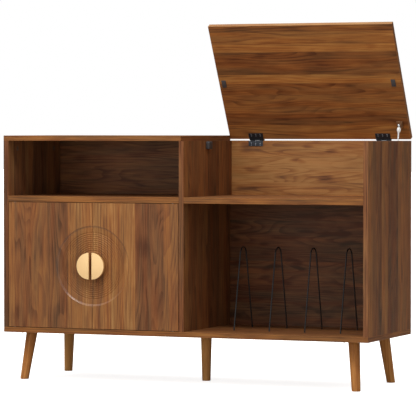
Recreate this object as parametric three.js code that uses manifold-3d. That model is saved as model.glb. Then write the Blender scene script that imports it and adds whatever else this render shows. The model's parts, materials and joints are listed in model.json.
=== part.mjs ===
// Record cabinet: an open shelf over two inset doors at the left, a lidded turntable bay over
// an open record bay at the right, on five splayed legs. Millimetres, +Z up, the front faces -Y.
// The origin is the middle of the centre leg's foot, on the floor. The lid stands open.
import * as THREE from "three";
import { mergeVertices } from "three/addons/utils/BufferGeometryUtils.js";
import Module from "manifold-3d";

const wasm = await Module();
wasm.setup();

// Driving dimensions
const cabinetWidth = 1200;
const cabinetDepth = 398;
const legHeight = 148;
const boardThickness = 16;
const shelfThickness = 18;
const lowerRoomHeight = 390;
const upperRoomHeight = 171;
const lidOpenAngle = 61.9;

// Clearances shared by several pieces
const seatGap = 0.3;
const runningGap = 0.1;
const overrun = 1;

// Back boards
const backThickness = 5;
const backInset = 19;
const railThickness = 12;
const topSeam = 2;

// Doors and their carved field
const doorSideGap = 1.4;
const doorSeamGap = 1.6;
const doorEndGap = 1.6;
const fieldRadius = 124;
const fieldDepth = 2.2;

// Door pivots: a pin near the outer edge of the door, top and bottom
const pivotFromEdge = 20;
const pivotFromFront = 6;
const pinRadius = 2.5;
const pinInDoor = 20;
const pinInBush = 8;
const collarRadius = 4.2;
const bushRadius = 4;
const bushDepth = 9;
const bushFlangeRadius = 5.6;
const bushFlangeThickness = 0.9;

// Half-round pulls
const pullRadius = 41;
const pullGap = 9.4;
const pullThickness = 10;
const pullStandoff = 8;
const pullBossRadius = 5;
const pullBossFromFlat = 13;
const pullBossSpacing = 40;
const pullScrewRadius = 2;
const pullScrewInBoss = 9;
const pullScrewHeadRadius = 4;
const pullScrewHeadHeight = 2.2;

// Magnetic door catch under the left shelf, with a strike plate on each door
const catchWidth = 58;
const catchDepth = 16;
const catchHeight = 13;
const strikeWidth = 20;
const strikeHeight = 11;
const strikeThickness = 1.2;
const strikeFromSeam = 4;

// Lid, its seat and its strike pads
const lidSetback = 3.7;
const padWidth = 14;
const padLength = 24;
const padThickness = 2;
const padFromWall = 2.5;
const bumperProud = 12;
const bumperForward = 10;
const bumperDepth = 28;
const bumperHeight = 24;

// Lid hinges
const hingeWidth = 48;
const hingeFromLidEnd = 89.2;
const hingeAboveRail = 3.2;
const hingeInFromBack = 0.8;
const leafThickness = 1.5;
const leafReach = 21;
const barrelRadius = 2.5;
const hingePinRadius = 1.2;
const hingePinHead = 1;
const hingePinHeadRadius = 1.9;
const knuckleCount = 3;
const knuckleGap = 0.3;
const leafScrewRadius = 2.1;
const leafScrewHead = 0.9;
const leafScrewFirst = 3.4;
const leafScrewPitch = 5.4;
const leafScrewSpread = 15;
const notchSideGap = 1;
const notchDepth = 3.6;

// Lid strut at the right
const strutFromWall = 10;
const strutFootFromBack = 89;
const strutFootBelowTop = 138;
const studForward = 57;
const studBelowLid = 11;
const strutRadius = 6;
const strutLength = 92;
const strutNeckRadius = 3.5;
const eyeRadius = 5.6;
const eyeWidth = 7;
const studRadius = 3;
const studGap = 0.3;
const rodRadius = 2.5;
const rodGap = 0.4;
const rodOverlap = 24;
const rodEndLength = 26;
const rodEndRadius = 6.5;
const rodEndTipRadius = 3.6;
// The oval's outline: distances from the eye as shares of its length, radii of its widest radius
const rodEndBackShares = [0.72, 0.52, 0.3];
const rodEndRadiusShares = [0.9, 1, 0.86];
const rodEndNeckShare = 0.12;
const bracketThickness = 2;
const bracketWidth = 18;
const footBracketHeight = 40;

// Legs and their mounting plates
const legFootRadius = 13;
const legTopRadius = 17.5;
const legFootFromSide = 51.4;
const legFootFromEnd = 39.7;
const legTopFromSide = 66.7;
const legTopFromEnd = 63.5;
const legPlateSize = 62;
const legPlateThickness = 2.5;
const legPlateCorner = 8;
const legScrewRadius = 4;
const legScrewHead = 1.8;
const legScrewInset = 8.5;

// Wire record dividers
const dividerCount = 4;
const wireRadius = 2.5;
const wireHeight = 255;
const wireBend = 25;
const wireHalfSpread = 75;
const wireInBoard = 9;
const wireHoleGap = 0.4;
const wireStraight = 4;

// Facets of round pieces
const cornerSteps = 4;
const smallSides = 20;
const screwSides = 10;
const holeSides = 12;
const largeSides = 64;
const legSides = 36;
const wireSides = 8;
const bendPoints = 6;

// Levels and planes that the pieces share
const halfWidth = cabinetWidth / 2;
const innerX = halfWidth - boardThickness;
const dividerX = boardThickness / 2;
const frontY = -cabinetDepth / 2;
const backY = cabinetDepth / 2;
const bottomTop = legHeight + boardThickness;
const shelfUnder = bottomTop + lowerRoomHeight;
const shelfTop = shelfUnder + shelfThickness;
const panelTop = shelfTop + upperRoomHeight;
const backFaceY = backY - backInset - backThickness;
const railFaceY = backY - railThickness;
const doorBackY = frontY + boardThickness;
const bayWidth = innerX - dividerX;
const seamX = -(innerX + dividerX) / 2;
const doorHeight = lowerRoomHeight - 2 * doorEndGap;
const doorMiddleZ = bottomTop + lowerRoomHeight / 2;
const fieldFloorY = frontY + fieldDepth;
const lidUnderZ = panelTop + seatGap;
const hingeY = backY - hingeInFromBack;
const hingeZ = panelTop + hingeAboveRail;
const openRadians = THREE.MathUtils.degToRad(lidOpenAngle);

// Materials, as seen in the photo
function finish(color, roughness, metalness) {
  return new THREE.MeshStandardMaterial({ color, roughness, metalness });
}
const walnut = () => finish(0x8a5836, 0.5, 0);
const walnutInside = () => finish(0x6d452b, 0.55, 0);
const legWood = () => finish(0x7b4a2a, 0.5, 0);
const paleGold = () => finish(0xe3bd80, 0.32, 1);
const blackSteel = () => finish(0x1c1c1e, 0.45, 0.8);
const greySteel = () => finish(0x9a9da1, 0.4, 1);
const whitePaint = () => finish(0xf2f2f0, 0.4, 0);
const darkPlastic = () => finish(0x34373b, 0.5, 0);

const cabinet = new THREE.Group();

function addPiece(parent, name, geometry, material) {
  const mesh = new THREE.Mesh(geometry, material);
  mesh.name = name;
  parent.add(mesh);
  return mesh;
}

// A box between two corners
function boxBetween(low, high) {
  const size = high.map((value, axis) => value - low[axis]);
  const geometry = new THREE.BoxGeometry(...size);
  return geometry.translate(...high.map((value, axis) => (value + low[axis]) / 2));
}

// A round bar from one end to the other along X, Y or Z
function roundBar(radius, start, end, sides = smallSides) {
  const from = new THREE.Vector3(...start);
  const along = new THREE.Vector3(...end).sub(from);
  const geometry = new THREE.CylinderGeometry(radius, radius, along.length(), sides);
  const turn = new THREE.Quaternion().setFromUnitVectors(
    new THREE.Vector3(0, 1, 0),
    along.clone().normalize(),
  );
  geometry.applyQuaternion(turn);
  return geometry.translate(...from.addScaledVector(along, 1 / 2).toArray());
}

// A turned shape: [radius, height] pairs from one axis point to the other, round Z
function turned(profile, sides = smallSides) {
  const points = profile.map(([radius, height]) => new THREE.Vector2(radius, height));
  return new THREE.LatheGeometry(points, sides).rotateX(Math.PI / 2);
}

function solidOf(geometry) {
  const bare = geometry.clone();
  bare.deleteAttribute("normal");
  bare.deleteAttribute("uv");
  const merged = mergeVertices(bare);
  return new wasm.Manifold(
    new wasm.Mesh({
      numProp: 3,
      vertProperties: merged.getAttribute("position").array,
      triVerts: new Uint32Array(merged.index.array),
    }),
  );
}

function geometryOf(solid) {
  const mesh = solid.getMesh();
  const geometry = new THREE.BufferGeometry();
  geometry.setAttribute("position", new THREE.BufferAttribute(mesh.vertProperties, 3));
  geometry.setIndex(new THREE.BufferAttribute(mesh.triVerts, 1));
  geometry.computeVertexNormals();
  return geometry;
}

function joined(...geometries) {
  return geometryOf(geometries.map(solidOf).reduce((sum, next) => sum.add(next)));
}

function cut(geometry, cutters) {
  return geometryOf(
    cutters.map(solidOf).reduce((rest, cutter) => rest.subtract(cutter), solidOf(geometry)),
  );
}

// Where the wires stand, one on each line between two record slots
const slotPitch = bayWidth / (dividerCount + 1);
const wireXs = Array.from({ length: dividerCount }, (_, i) => dividerX + slotPitch * (i + 1));

// The pivots of the doors: side -1 is the left door, side 1 the right door
function pivotX(side) {
  return seamX + side * (bayWidth / 2 - doorSideGap - pivotFromEdge);
}
const pivotY = frontY + pivotFromFront;

function bottomPanel() {
  const panel = boxBetween([-halfWidth, frontY, legHeight], [halfWidth, backY, bottomTop]);
  const wireHoles = wireXs.flatMap((x) =>
    [-wireHalfSpread, wireHalfSpread].map((y) =>
      roundBar(
        wireRadius + wireHoleGap,
        [x, y, bottomTop - wireInBoard - seatGap],
        [x, y, bottomTop + overrun],
        holeSides,
      ),
    ),
  );
  const bushHoles = [-1, 1].map((side) =>
    roundBar(
      bushRadius + seatGap,
      [pivotX(side), pivotY, bottomTop - bushDepth - seatGap],
      [pivotX(side), pivotY, bottomTop + overrun],
    ),
  );
  return cut(panel, [...wireHoles, ...bushHoles]);
}

function leftShelf() {
  const shelf = boxBetween([-innerX, frontY, shelfUnder], [-dividerX, backFaceY, shelfTop]);
  const bushHoles = [-1, 1].map((side) =>
    roundBar(
      bushRadius + seatGap,
      [pivotX(side), pivotY, shelfUnder - overrun],
      [pivotX(side), pivotY, shelfUnder + bushDepth + seatGap],
    ),
  );
  return cut(shelf, bushHoles);
}

const hingeXs = [topSeam / 2 + hingeFromLidEnd, halfWidth - hingeFromLidEnd];

// The rail closes the turntable bay at the back, down past the shelf's rear edge
function rearRail() {
  const rail = boxBetween([dividerX, railFaceY, shelfUnder], [innerX, backY, panelTop]);
  const halfNotch = hingeWidth / 2 + notchSideGap;
  const notches = hingeXs.map((x) =>
    boxBetween(
      [x - halfNotch, railFaceY - overrun, panelTop - notchDepth],
      [x + halfNotch, backY + overrun, panelTop + overrun],
    ),
  );
  return cut(rail, notches);
}

function addCarcass() {
  addPiece(cabinet, "bottom_panel", bottomPanel(), walnut());
  const sidePanel = (low, high) => boxBetween([low, frontY, bottomTop], [high, backY, panelTop]);
  addPiece(cabinet, "left_side_panel", sidePanel(-halfWidth, -innerX), walnut());
  addPiece(cabinet, "right_side_panel", sidePanel(innerX, halfWidth), walnut());
  addPiece(cabinet, "centre_divider", sidePanel(-dividerX, dividerX), walnut());
  addPiece(
    cabinet,
    "top_panel",
    boxBetween([-halfWidth, frontY, panelTop], [-topSeam / 2, backY, panelTop + boardThickness]),
    walnut(),
  );
  addPiece(cabinet, "left_shelf", leftShelf(), walnut());
  addPiece(
    cabinet,
    "turntable_shelf",
    boxBetween([dividerX, frontY, shelfUnder], [innerX, railFaceY, shelfTop]),
    walnut(),
  );
  addPiece(
    cabinet,
    "left_back_panel",
    boxBetween([-innerX, backFaceY, bottomTop], [-dividerX, backFaceY + backThickness, panelTop]),
    walnutInside(),
  );
  addPiece(
    cabinet,
    "right_back_panel",
    boxBetween([dividerX, backFaceY, bottomTop], [innerX, backFaceY + backThickness, shelfUnder]),
    walnutInside(),
  );
  addPiece(cabinet, "rear_hinge_rail", rearRail(), walnut());
}

// A turned leg on the line from its foot to its top, cut level with the floor and its plate
function leg(foot, top) {
  const rise = legHeight - legPlateThickness - seatGap;
  const axis = new THREE.Vector3(top[0] - foot[0], top[1] - foot[1], legHeight);
  const length = axis.length();
  const growth = (legTopRadius - legFootRadius) / length;
  const spare = legFootRadius;
  const bar = turned(
    [
      [0, -spare],
      [legFootRadius - growth * spare, -spare],
      [legTopRadius + growth * spare, length + spare],
      [0, length + spare],
    ],
    legSides,
  );
  const lean = new THREE.Quaternion().setFromUnitVectors(
    new THREE.Vector3(0, 0, 1),
    axis.clone().normalize(),
  );
  bar.applyQuaternion(lean).translate(foot[0], foot[1], 0);
  const slab = boxBetween([-halfWidth, frontY, 0], [halfWidth, backY, rise]);
  return geometryOf(solidOf(bar).intersect(solidOf(slab)));
}

function legPlate(x, y) {
  const half = legPlateSize / 2;
  const shape = new THREE.Shape();
  const inner = half - legPlateCorner;
  shape.absarc(inner, inner, legPlateCorner, 0, Math.PI / 2, false);
  shape.absarc(-inner, inner, legPlateCorner, Math.PI / 2, Math.PI, false);
  shape.absarc(-inner, -inner, legPlateCorner, Math.PI, Math.PI * 1.5, false);
  shape.absarc(inner, -inner, legPlateCorner, Math.PI * 1.5, Math.PI * 2, false);
  const plate = new THREE.ExtrudeGeometry(shape, {
    depth: legPlateThickness,
    bevelEnabled: false,
    curveSegments: cornerSteps,
  });
  plate.translate(x, y, legHeight - legPlateThickness);
  const reach = half - legScrewInset;
  const heads = [-reach, reach].flatMap((dx) =>
    [-reach, reach].map((dy) =>
      roundBar(
        legScrewRadius,
        [x + dx, y + dy, legHeight - legPlateThickness - legScrewHead],
        [x + dx, y + dy, legHeight - legPlateThickness / 2],
        screwSides,
      ),
    ),
  );
  return joined(plate, ...heads);
}

function addLegs() {
  const place = (sideX, sideY, fromSide, fromEnd) => [
    sideX * (halfWidth - fromSide),
    sideY * (backY - fromEnd),
  ];
  const corners = [
    ["front_left", -1, -1],
    ["front_right", 1, -1],
    ["back_left", -1, 1],
    ["back_right", 1, 1],
  ];
  const legs = corners.map(([name, sideX, sideY]) => ({
    name,
    foot: place(sideX, sideY, legFootFromSide, legFootFromEnd),
    top: place(sideX, sideY, legTopFromSide, legTopFromEnd),
  }));
  legs.push({ name: "centre", foot: [0, 0], top: [0, 0] });
  for (const { name, foot, top } of legs) {
    addPiece(cabinet, "leg_" + name, leg(foot, top), legWood());
    addPiece(cabinet, "leg_plate_" + name, legPlate(...top), blackSteel());
  }
}

// One hairpin wire: two pins in the bottom panel, two leaning legs and a round bend on top
function hairpinPoints() {
  const bendZ = bottomTop + wireHeight - wireRadius - wireBend;
  const legFootZ = bottomTop + wireStraight;
  const reach = Math.hypot(wireHalfSpread, bendZ - legFootZ);
  const lean = Math.atan2(bendZ - legFootZ, wireHalfSpread) + Math.asin(wireBend / reach);
  const firstTurn = lean + Math.PI / 2;
  const half = [
    [-wireHalfSpread, bottomTop - wireInBoard],
    [-wireHalfSpread, bottomTop],
    [-wireHalfSpread, legFootZ],
  ];
  const tangentLength = Math.sqrt(reach ** 2 - wireBend ** 2);
  const legShares = [0.03, 0.3, 0.65, 0.93];
  for (const share of legShares) {
    half.push([
      -wireHalfSpread + Math.cos(lean) * tangentLength * share,
      legFootZ + Math.sin(lean) * tangentLength * share,
    ]);
  }
  for (let i = 0; i < bendPoints; i++) {
    const turn = firstTurn + ((Math.PI / 2 - firstTurn) * i) / bendPoints;
    half.push([wireBend * Math.cos(turn), bendZ + wireBend * Math.sin(turn)]);
  }
  const mirrored = half.map(([y, z]) => [-y, z]).reverse();
  return [...half, [0, bendZ + wireBend], ...mirrored];
}

// A smooth curve that a sweep samples at its own points, so that short bends stay true
class PointwiseCurve extends THREE.CatmullRomCurve3 {
  getUtoTmapping(share) {
    return share;
  }
}

function addRecordDividers() {
  const section = new THREE.Shape();
  for (let i = 0; i < wireSides; i++) {
    const turn = (2 * Math.PI * i) / wireSides;
    const point = [wireRadius * Math.cos(turn), wireRadius * Math.sin(turn)];
    if (i === 0) section.moveTo(...point);
    else section.lineTo(...point);
  }
  wireXs.forEach((x, i) => {
    const route = hairpinPoints().map(([y, z]) => new THREE.Vector3(x, y, z));
    const wire = new THREE.ExtrudeGeometry(section, {
      steps: route.length - 1,
      extrudePath: new PointwiseCurve(route, false, "centripetal"),
    });
    addPiece(cabinet, "record_divider_" + (i + 1), wire, blackSteel());
  });
}

// A door with its half of the round field, two pivot holes and two holes for the pull's screws
function door(side) {
  const outerX = seamX + side * (bayWidth / 2 - doorSideGap);
  const innerEdgeX = seamX + (side * doorSeamGap) / 2;
  const low = bottomTop + doorEndGap;
  const high = low + doorHeight;
  const leaf = boxBetween(
    [Math.min(outerX, innerEdgeX), frontY, low],
    [Math.max(outerX, innerEdgeX), doorBackY, high],
  );
  const field = roundBar(
    fieldRadius,
    [seamX, frontY - overrun, doorMiddleZ],
    [seamX, fieldFloorY, doorMiddleZ],
    largeSides,
  );
  const pinHoles = [
    [low - overrun, low + pinInDoor + seatGap],
    [high - pinInDoor - seatGap, high + overrun],
  ].map(([from, to]) =>
    roundBar(
      pinRadius + seatGap,
      [pivotX(side), pivotY, from],
      [pivotX(side), pivotY, to],
    ),
  );
  const screwHoles = pullBossPlaces(side).map(([x, z]) =>
    roundBar(pullScrewRadius + seatGap, [x, frontY - overrun, z], [x, doorBackY + overrun, z]),
  );
  return cut(leaf, [field, ...pinHoles, ...screwHoles]);
}

function pullBossPlaces(side) {
  const x = seamX + side * (pullGap / 2 + pullBossFromFlat);
  return [-1, 1].map((end) => [x, doorMiddleZ + (end * pullBossSpacing) / 2]);
}

const pullBackY = frontY - pullStandoff;

// A half-round pull: a thick half disc held off the door by two bosses, bored for screws
function pull(side) {
  const plate = solidOf(
    roundBar(
      pullRadius,
      [seamX + (side * pullGap) / 2, pullBackY - pullThickness, doorMiddleZ],
      [seamX + (side * pullGap) / 2, pullBackY, doorMiddleZ],
      largeSides,
    ),
  );
  const flatX = seamX + (side * pullGap) / 2;
  const farX = flatX + side * (pullRadius + overrun);
  const keep = boxBetween(
    [Math.min(flatX, farX), pullBackY - pullThickness - overrun, doorMiddleZ - pullRadius - overrun],
    [Math.max(flatX, farX), pullBackY + overrun, doorMiddleZ + pullRadius + overrun],
  );
  let solid = plate.intersect(solidOf(keep));
  for (const [x, z] of pullBossPlaces(side)) {
    const boss = roundBar(
      pullBossRadius,
      [x, pullBackY - pullThickness / 2, z],
      [x, fieldFloorY - seatGap, z],
    );
    solid = solid.add(solidOf(boss));
  }
  for (const [x, z] of pullBossPlaces(side)) {
    const bore = roundBar(
      pullScrewRadius + seatGap,
      [x, fieldFloorY - pullScrewInBoss - seatGap, z],
      [x, fieldFloorY + overrun, z],
    );
    solid = solid.subtract(solidOf(bore));
  }
  return geometryOf(solid);
}

function pullScrew(x, z) {
  const shank = roundBar(
    pullScrewRadius,
    [x, fieldFloorY - pullScrewInBoss, z],
    [x, doorBackY + pullScrewHeadHeight / 2, z],
  );
  const head = roundBar(
    pullScrewHeadRadius,
    [x, doorBackY + runningGap, z],
    [x, doorBackY + pullScrewHeadHeight, z],
  );
  return joined(shank, head);
}

// A pivot pin with its collar; end -1 is the foot of the door, end 1 its head
function pivotPin(side, end) {
  const doorEnd = doorMiddleZ + (end * doorHeight) / 2;
  const boardFace = doorMiddleZ + (end * lowerRoomHeight) / 2;
  const x = pivotX(side);
  const shank = roundBar(
    pinRadius,
    [x, pivotY, doorEnd - end * pinInDoor],
    [x, pivotY, boardFace + end * pinInBush],
  );
  const collar = roundBar(
    collarRadius,
    [x, pivotY, doorEnd],
    [x, pivotY, boardFace - end * (bushFlangeThickness + seatGap)],
  );
  return joined(shank, collar);
}

function pivotBush(side, end) {
  const boardFace = doorMiddleZ + (end * lowerRoomHeight) / 2;
  const x = pivotX(side);
  const sleeve = roundBar(
    bushRadius,
    [x, pivotY, boardFace - end * bushFlangeThickness],
    [x, pivotY, boardFace + end * bushDepth],
  );
  const flange = roundBar(
    bushFlangeRadius,
    [x, pivotY, boardFace - end * bushFlangeThickness],
    [x, pivotY, boardFace],
  );
  const bore = roundBar(
    pinRadius + runningGap,
    [x, pivotY, boardFace - end * (bushFlangeThickness + overrun)],
    [x, pivotY, boardFace + end * (pinInBush + seatGap)],
  );
  return cut(joined(sleeve, flange), [bore]);
}

function strike(side) {
  const near = seamX + side * (doorSeamGap / 2 + strikeFromSeam);
  const far = near + side * strikeWidth;
  const top = doorMiddleZ + doorHeight / 2 - seatGap;
  return boxBetween(
    [Math.min(near, far), doorBackY, top - strikeHeight],
    [Math.max(near, far), doorBackY + strikeThickness, top],
  );
}

function addDoors() {
  for (const [word, side] of [
    ["left", -1],
    ["right", 1],
  ]) {
    addPiece(cabinet, word + "_door", door(side), walnut());
    addPiece(cabinet, word + "_pull", pull(side), paleGold());
    pullBossPlaces(side).forEach(([x, z], i) => {
      const name = word + "_pull_screw_" + ["lower", "upper"][i];
      addPiece(cabinet, name, pullScrew(x, z), greySteel());
    });
    for (const [place, end] of [
      ["lower", -1],
      ["upper", 1],
    ]) {
      addPiece(cabinet, word + "_door_pin_" + place, pivotPin(side, end), greySteel());
      addPiece(cabinet, word + "_door_bush_" + place, pivotBush(side, end), darkPlastic());
    }
    addPiece(cabinet, word + "_door_strike", strike(side), greySteel());
  }
  const catchFrontY = doorBackY + strikeThickness + seatGap;
  addPiece(
    cabinet,
    "door_catch",
    boxBetween(
      [seamX - catchWidth / 2, catchFrontY, shelfUnder - catchHeight],
      [seamX + catchWidth / 2, catchFrontY + catchDepth, shelfUnder],
    ),
    darkPlastic(),
  );
}

// The lid and all that is screwed to it, drawn shut and turned open about the hinge line
const lidGroup = new THREE.Group();
lidGroup.position.set(0, hingeY, hingeZ);
lidGroup.rotation.x = -openRadians;
cabinet.add(lidGroup);
const lidUnder = lidUnderZ - hingeZ;
const lidSeat = lidUnder - seatGap;
const lidBack = backY - lidSetback - hingeY;

// Knuckle ends along the hinge: the fixed leaf has the outer two, the moving leaf the middle one
const knuckleHalf = hingeWidth / knuckleCount / 2;

function barrel(x, from, to) {
  return roundBar(barrelRadius, [x + from, 0, 0], [x + to, 0, 0]);
}

function screwHeads(x, rows, placeHead) {
  return rows.flatMap((row) =>
    [-leafScrewSpread, 0, leafScrewSpread].map((dx) => placeHead(x + dx, row)),
  );
}

const screwRows = [leafScrewFirst, leafScrewFirst + leafScrewPitch];

function fixedLeaf(x) {
  const half = hingeWidth / 2;
  const floor = panelTop - notchDepth - hingeZ;
  const face = railFaceY - hingeY;
  const plate = boxBetween(
    [x - half, face - leafThickness, -leafReach],
    [x + half, face, floor + leafThickness],
  );
  const strip = boxBetween(
    [x - half, face - leafThickness, floor],
    [x + half, barrelRadius, floor + leafThickness],
  );
  const sill = boxBetween(
    [x - half, barrelRadius - leafThickness, floor],
    [x + half, barrelRadius, -barrelRadius - seatGap],
  );
  const webs = [
    [-half, -knuckleHalf - knuckleGap],
    [knuckleHalf + knuckleGap, half],
  ];
  const pieces = [plate, strip, sill];
  for (const [from, to] of webs) {
    pieces.push(
      boxBetween([x + from, barrelRadius - leafThickness, floor], [x + to, barrelRadius, 0]),
    );
    pieces.push(barrel(x, from, to));
  }
  pieces.push(
    ...screwHeads(x, screwRows, (headX, row) =>
      roundBar(
        leafScrewRadius,
        [headX, face - leafThickness - leafScrewHead, row - leafReach],
        [headX, face - leafThickness / 2, row - leafReach],
        screwSides,
      ),
    ),
  );
  const bore = roundBar(
    hingePinRadius + runningGap,
    [x - half - overrun, 0, 0],
    [x + half + overrun, 0, 0],
  );
  return cut(joined(...pieces), [bore]).translate(0, hingeY, hingeZ);
}

function movingLeaf(x) {
  const half = hingeWidth / 2;
  const plate = boxBetween(
    [x - half, lidBack - leafReach, lidSeat - leafThickness],
    [x + half, 0, lidSeat],
  );
  const neck = boxBetween(
    [x - knuckleHalf, -leafThickness, lidSeat - leafThickness],
    [x + knuckleHalf, 0, 0],
  );
  const frontRow = lidBack - leafReach;
  const heads = screwHeads(x, screwRows, (headX, row) =>
    roundBar(
      leafScrewRadius,
      [headX, frontRow + row, lidSeat - leafThickness - leafScrewHead],
      [headX, frontRow + row, lidSeat - leafThickness / 2],
      screwSides,
    ),
  );
  const bore = roundBar(
    hingePinRadius + runningGap,
    [x - half, 0, 0],
    [x + half, 0, 0],
  );
  return cut(joined(plate, neck, barrel(x, -knuckleHalf, knuckleHalf), ...heads), [bore]);
}

function hingePin(x) {
  const half = hingeWidth / 2 + runningGap;
  const pin = roundBar(
    hingePinRadius,
    [x - half - hingePinHead, hingeY, hingeZ],
    [x + half + hingePinHead, hingeY, hingeZ],
  );
  const heads = [-1, 1].map((end) =>
    roundBar(
      hingePinHeadRadius,
      [x + end * half, hingeY, hingeZ],
      [x + end * (half + hingePinHead), hingeY, hingeZ],
    ),
  );
  return joined(pin, ...heads);
}

function addLid() {
  const lidFront = frontY - hingeY;
  addPiece(
    lidGroup,
    "lid",
    boxBetween(
      [topSeam / 2, lidFront, lidUnder],
      [halfWidth, lidBack, lidUnder + boardThickness],
    ),
    walnut(),
  );
  hingeXs.forEach((x, i) => {
    const word = ["left", "right"][i];
    addPiece(cabinet, "lid_hinge_fixed_leaf_" + word, fixedLeaf(x), blackSteel());
    addPiece(cabinet, "lid_hinge_pin_" + word, hingePin(x), greySteel());
    addPiece(lidGroup, "lid_hinge_moving_leaf_" + word, movingLeaf(x), blackSteel());
  });
  for (const [word, wallX, side] of [
    ["left", dividerX, 1],
    ["right", innerX, -1],
  ]) {
    const bumperTop = lidUnderZ - seatGap - padThickness - seatGap;
    const proudX = wallX + side * bumperProud;
    addPiece(
      cabinet,
      "lid_bumper_" + word,
      boxBetween(
        [Math.min(wallX, proudX), -bumperForward - bumperDepth / 2, bumperTop - bumperHeight],
        [Math.max(wallX, proudX), -bumperForward + bumperDepth / 2, bumperTop],
      ),
      darkPlastic(),
    );
    const padNear = wallX + side * padFromWall;
    const padFar = padNear + side * padWidth;
    addPiece(
      lidGroup,
      "lid_pad_" + word,
      boxBetween(
        [Math.min(padNear, padFar), -hingeY - padLength / 2, lidSeat - padThickness],
        [Math.max(padNear, padFar), -hingeY + padLength / 2, lidSeat],
      ),
      darkPlastic(),
    );
  }
}

// The strut runs from a stud on the right panel to a bracket under the lid
const strutX = innerX - strutFromWall;
const footY = backY - strutFootFromBack;
const footZ = panelTop - strutFootBelowTop;
const stud = new THREE.Vector3(strutX, -studForward, lidUnder - studBelowLid);
const openStud = stud
  .clone()
  .applyAxisAngle(new THREE.Vector3(1, 0, 0), -openRadians)
  .add(lidGroup.position);
const openReach = Math.hypot(openStud.y - footY, openStud.z - footZ);
const strutGroup = new THREE.Group();
strutGroup.position.set(strutX, footY, footZ);
strutGroup.rotation.x = -Math.atan2(openStud.y - footY, openStud.z - footZ);
cabinet.add(strutGroup);

function eye(z) {
  return roundBar(eyeRadius, [-eyeWidth / 2, 0, z], [eyeWidth / 2, 0, z]);
}

function strutCylinder() {
  const start = eyeRadius * 2;
  const tube = roundBar(strutRadius, [0, 0, start], [0, 0, start + strutLength]);
  const neck = roundBar(strutNeckRadius, [0, 0, studRadius + overrun], [0, 0, start + overrun]);
  const rodBore = roundBar(
    rodRadius + rodGap,
    [0, 0, start + strutNeckRadius],
    [0, 0, start + strutLength + overrun],
  );
  const studBore = roundBar(
    studRadius + studGap,
    [-eyeWidth, 0, 0],
    [eyeWidth, 0, 0],
  );
  return cut(joined(tube, neck, eye(0)), [rodBore, studBore]);
}

function strutRod() {
  const mouth = eyeRadius * 2 + strutLength;
  return roundBar(rodRadius, [0, 0, mouth - rodOverlap], [0, 0, openReach - rodEndLength]);
}

// The oval end fitting of the rod, with its eye
function strutRodEnd() {
  const swell = rodEndBackShares.map((share, i) => [
    rodEndRadius * rodEndRadiusShares[i],
    openReach - rodEndLength * share,
  ]);
  const oval = turned([
    [0, openReach - rodEndLength + seatGap],
    [rodEndTipRadius, openReach - rodEndLength + seatGap],
    ...swell,
    [rodEndTipRadius, openReach - rodEndLength * rodEndNeckShare],
    [rodEndTipRadius, openReach],
    [0, openReach],
  ]);
  return joined(oval, eye(openReach));
}

function strutFootBracket() {
  const plate = boxBetween(
    [innerX - bracketThickness, footY - bracketWidth / 2, footZ - footBracketHeight / 2],
    [innerX, footY + bracketWidth / 2, footZ + footBracketHeight / 2],
  );
  const pin = roundBar(
    studRadius,
    [strutX - eyeWidth / 2 - overrun, footY, footZ],
    [innerX - bracketThickness / 2, footY, footZ],
  );
  return joined(plate, pin);
}

function strutLidBracket() {
  const earNear = strutX + rodEndRadius + seatGap;
  const earFar = earNear + bracketThickness;
  const low = stud.z - bracketWidth / 2;
  const ear = boxBetween(
    [earNear, stud.y - bracketWidth / 2, low],
    [earFar, stud.y + bracketWidth / 2, lidSeat],
  );
  const flange = boxBetween(
    [earNear - bracketWidth, stud.y - bracketWidth / 2, lidSeat - bracketThickness],
    [earFar, stud.y + bracketWidth / 2, lidSeat],
  );
  const boss = roundBar(
    studRadius,
    [strutX + eyeWidth / 2 + seatGap, stud.y, stud.z],
    [earNear + bracketThickness / 2, stud.y, stud.z],
  );
  return joined(ear, flange, boss);
}

function addStrut() {
  addPiece(strutGroup, "strut_cylinder", strutCylinder(), whitePaint());
  addPiece(strutGroup, "strut_rod", strutRod(), whitePaint());
  addPiece(strutGroup, "strut_rod_end", strutRodEnd(), whitePaint());
  addPiece(cabinet, "strut_foot_bracket", strutFootBracket(), greySteel());
  addPiece(lidGroup, "strut_lid_bracket", strutLidBracket(), greySteel());
}

addCarcass();
addLegs();
addRecordDividers();
addDoors();
addLid();
addStrut();

export default cabinet;
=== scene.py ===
# %% [markdown]
# # Dressing a record cabinet
#
# The construction of the cabinet is already fixed: every board, hinge, pull and leg has its size and
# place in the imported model. This lesson gives each of them the finish that the eye meets: walnut
# laminate laid up from strips, a door front carved by a router, pale gold pulls, turned legs and small
# black ironwork. Everything is in metres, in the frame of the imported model.

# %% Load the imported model
import json
import math

import bmesh
import bpy
from mathutils import Matrix, Vector


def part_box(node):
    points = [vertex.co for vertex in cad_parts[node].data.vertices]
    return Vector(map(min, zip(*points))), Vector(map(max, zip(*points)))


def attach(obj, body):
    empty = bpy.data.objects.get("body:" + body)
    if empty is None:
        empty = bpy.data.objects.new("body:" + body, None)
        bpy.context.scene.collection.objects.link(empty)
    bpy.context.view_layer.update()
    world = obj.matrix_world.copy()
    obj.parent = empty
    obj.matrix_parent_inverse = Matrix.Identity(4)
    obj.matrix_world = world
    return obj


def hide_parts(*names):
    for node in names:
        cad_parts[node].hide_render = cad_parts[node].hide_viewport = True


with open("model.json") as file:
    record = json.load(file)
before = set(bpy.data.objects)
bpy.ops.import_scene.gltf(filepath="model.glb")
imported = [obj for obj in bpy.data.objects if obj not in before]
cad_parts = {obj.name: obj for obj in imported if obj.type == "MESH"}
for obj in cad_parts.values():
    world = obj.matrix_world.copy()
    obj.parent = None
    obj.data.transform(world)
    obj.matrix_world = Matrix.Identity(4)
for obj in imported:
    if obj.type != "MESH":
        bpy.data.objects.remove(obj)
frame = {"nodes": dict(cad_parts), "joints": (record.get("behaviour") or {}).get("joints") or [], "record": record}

scene = bpy.context.scene
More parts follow.
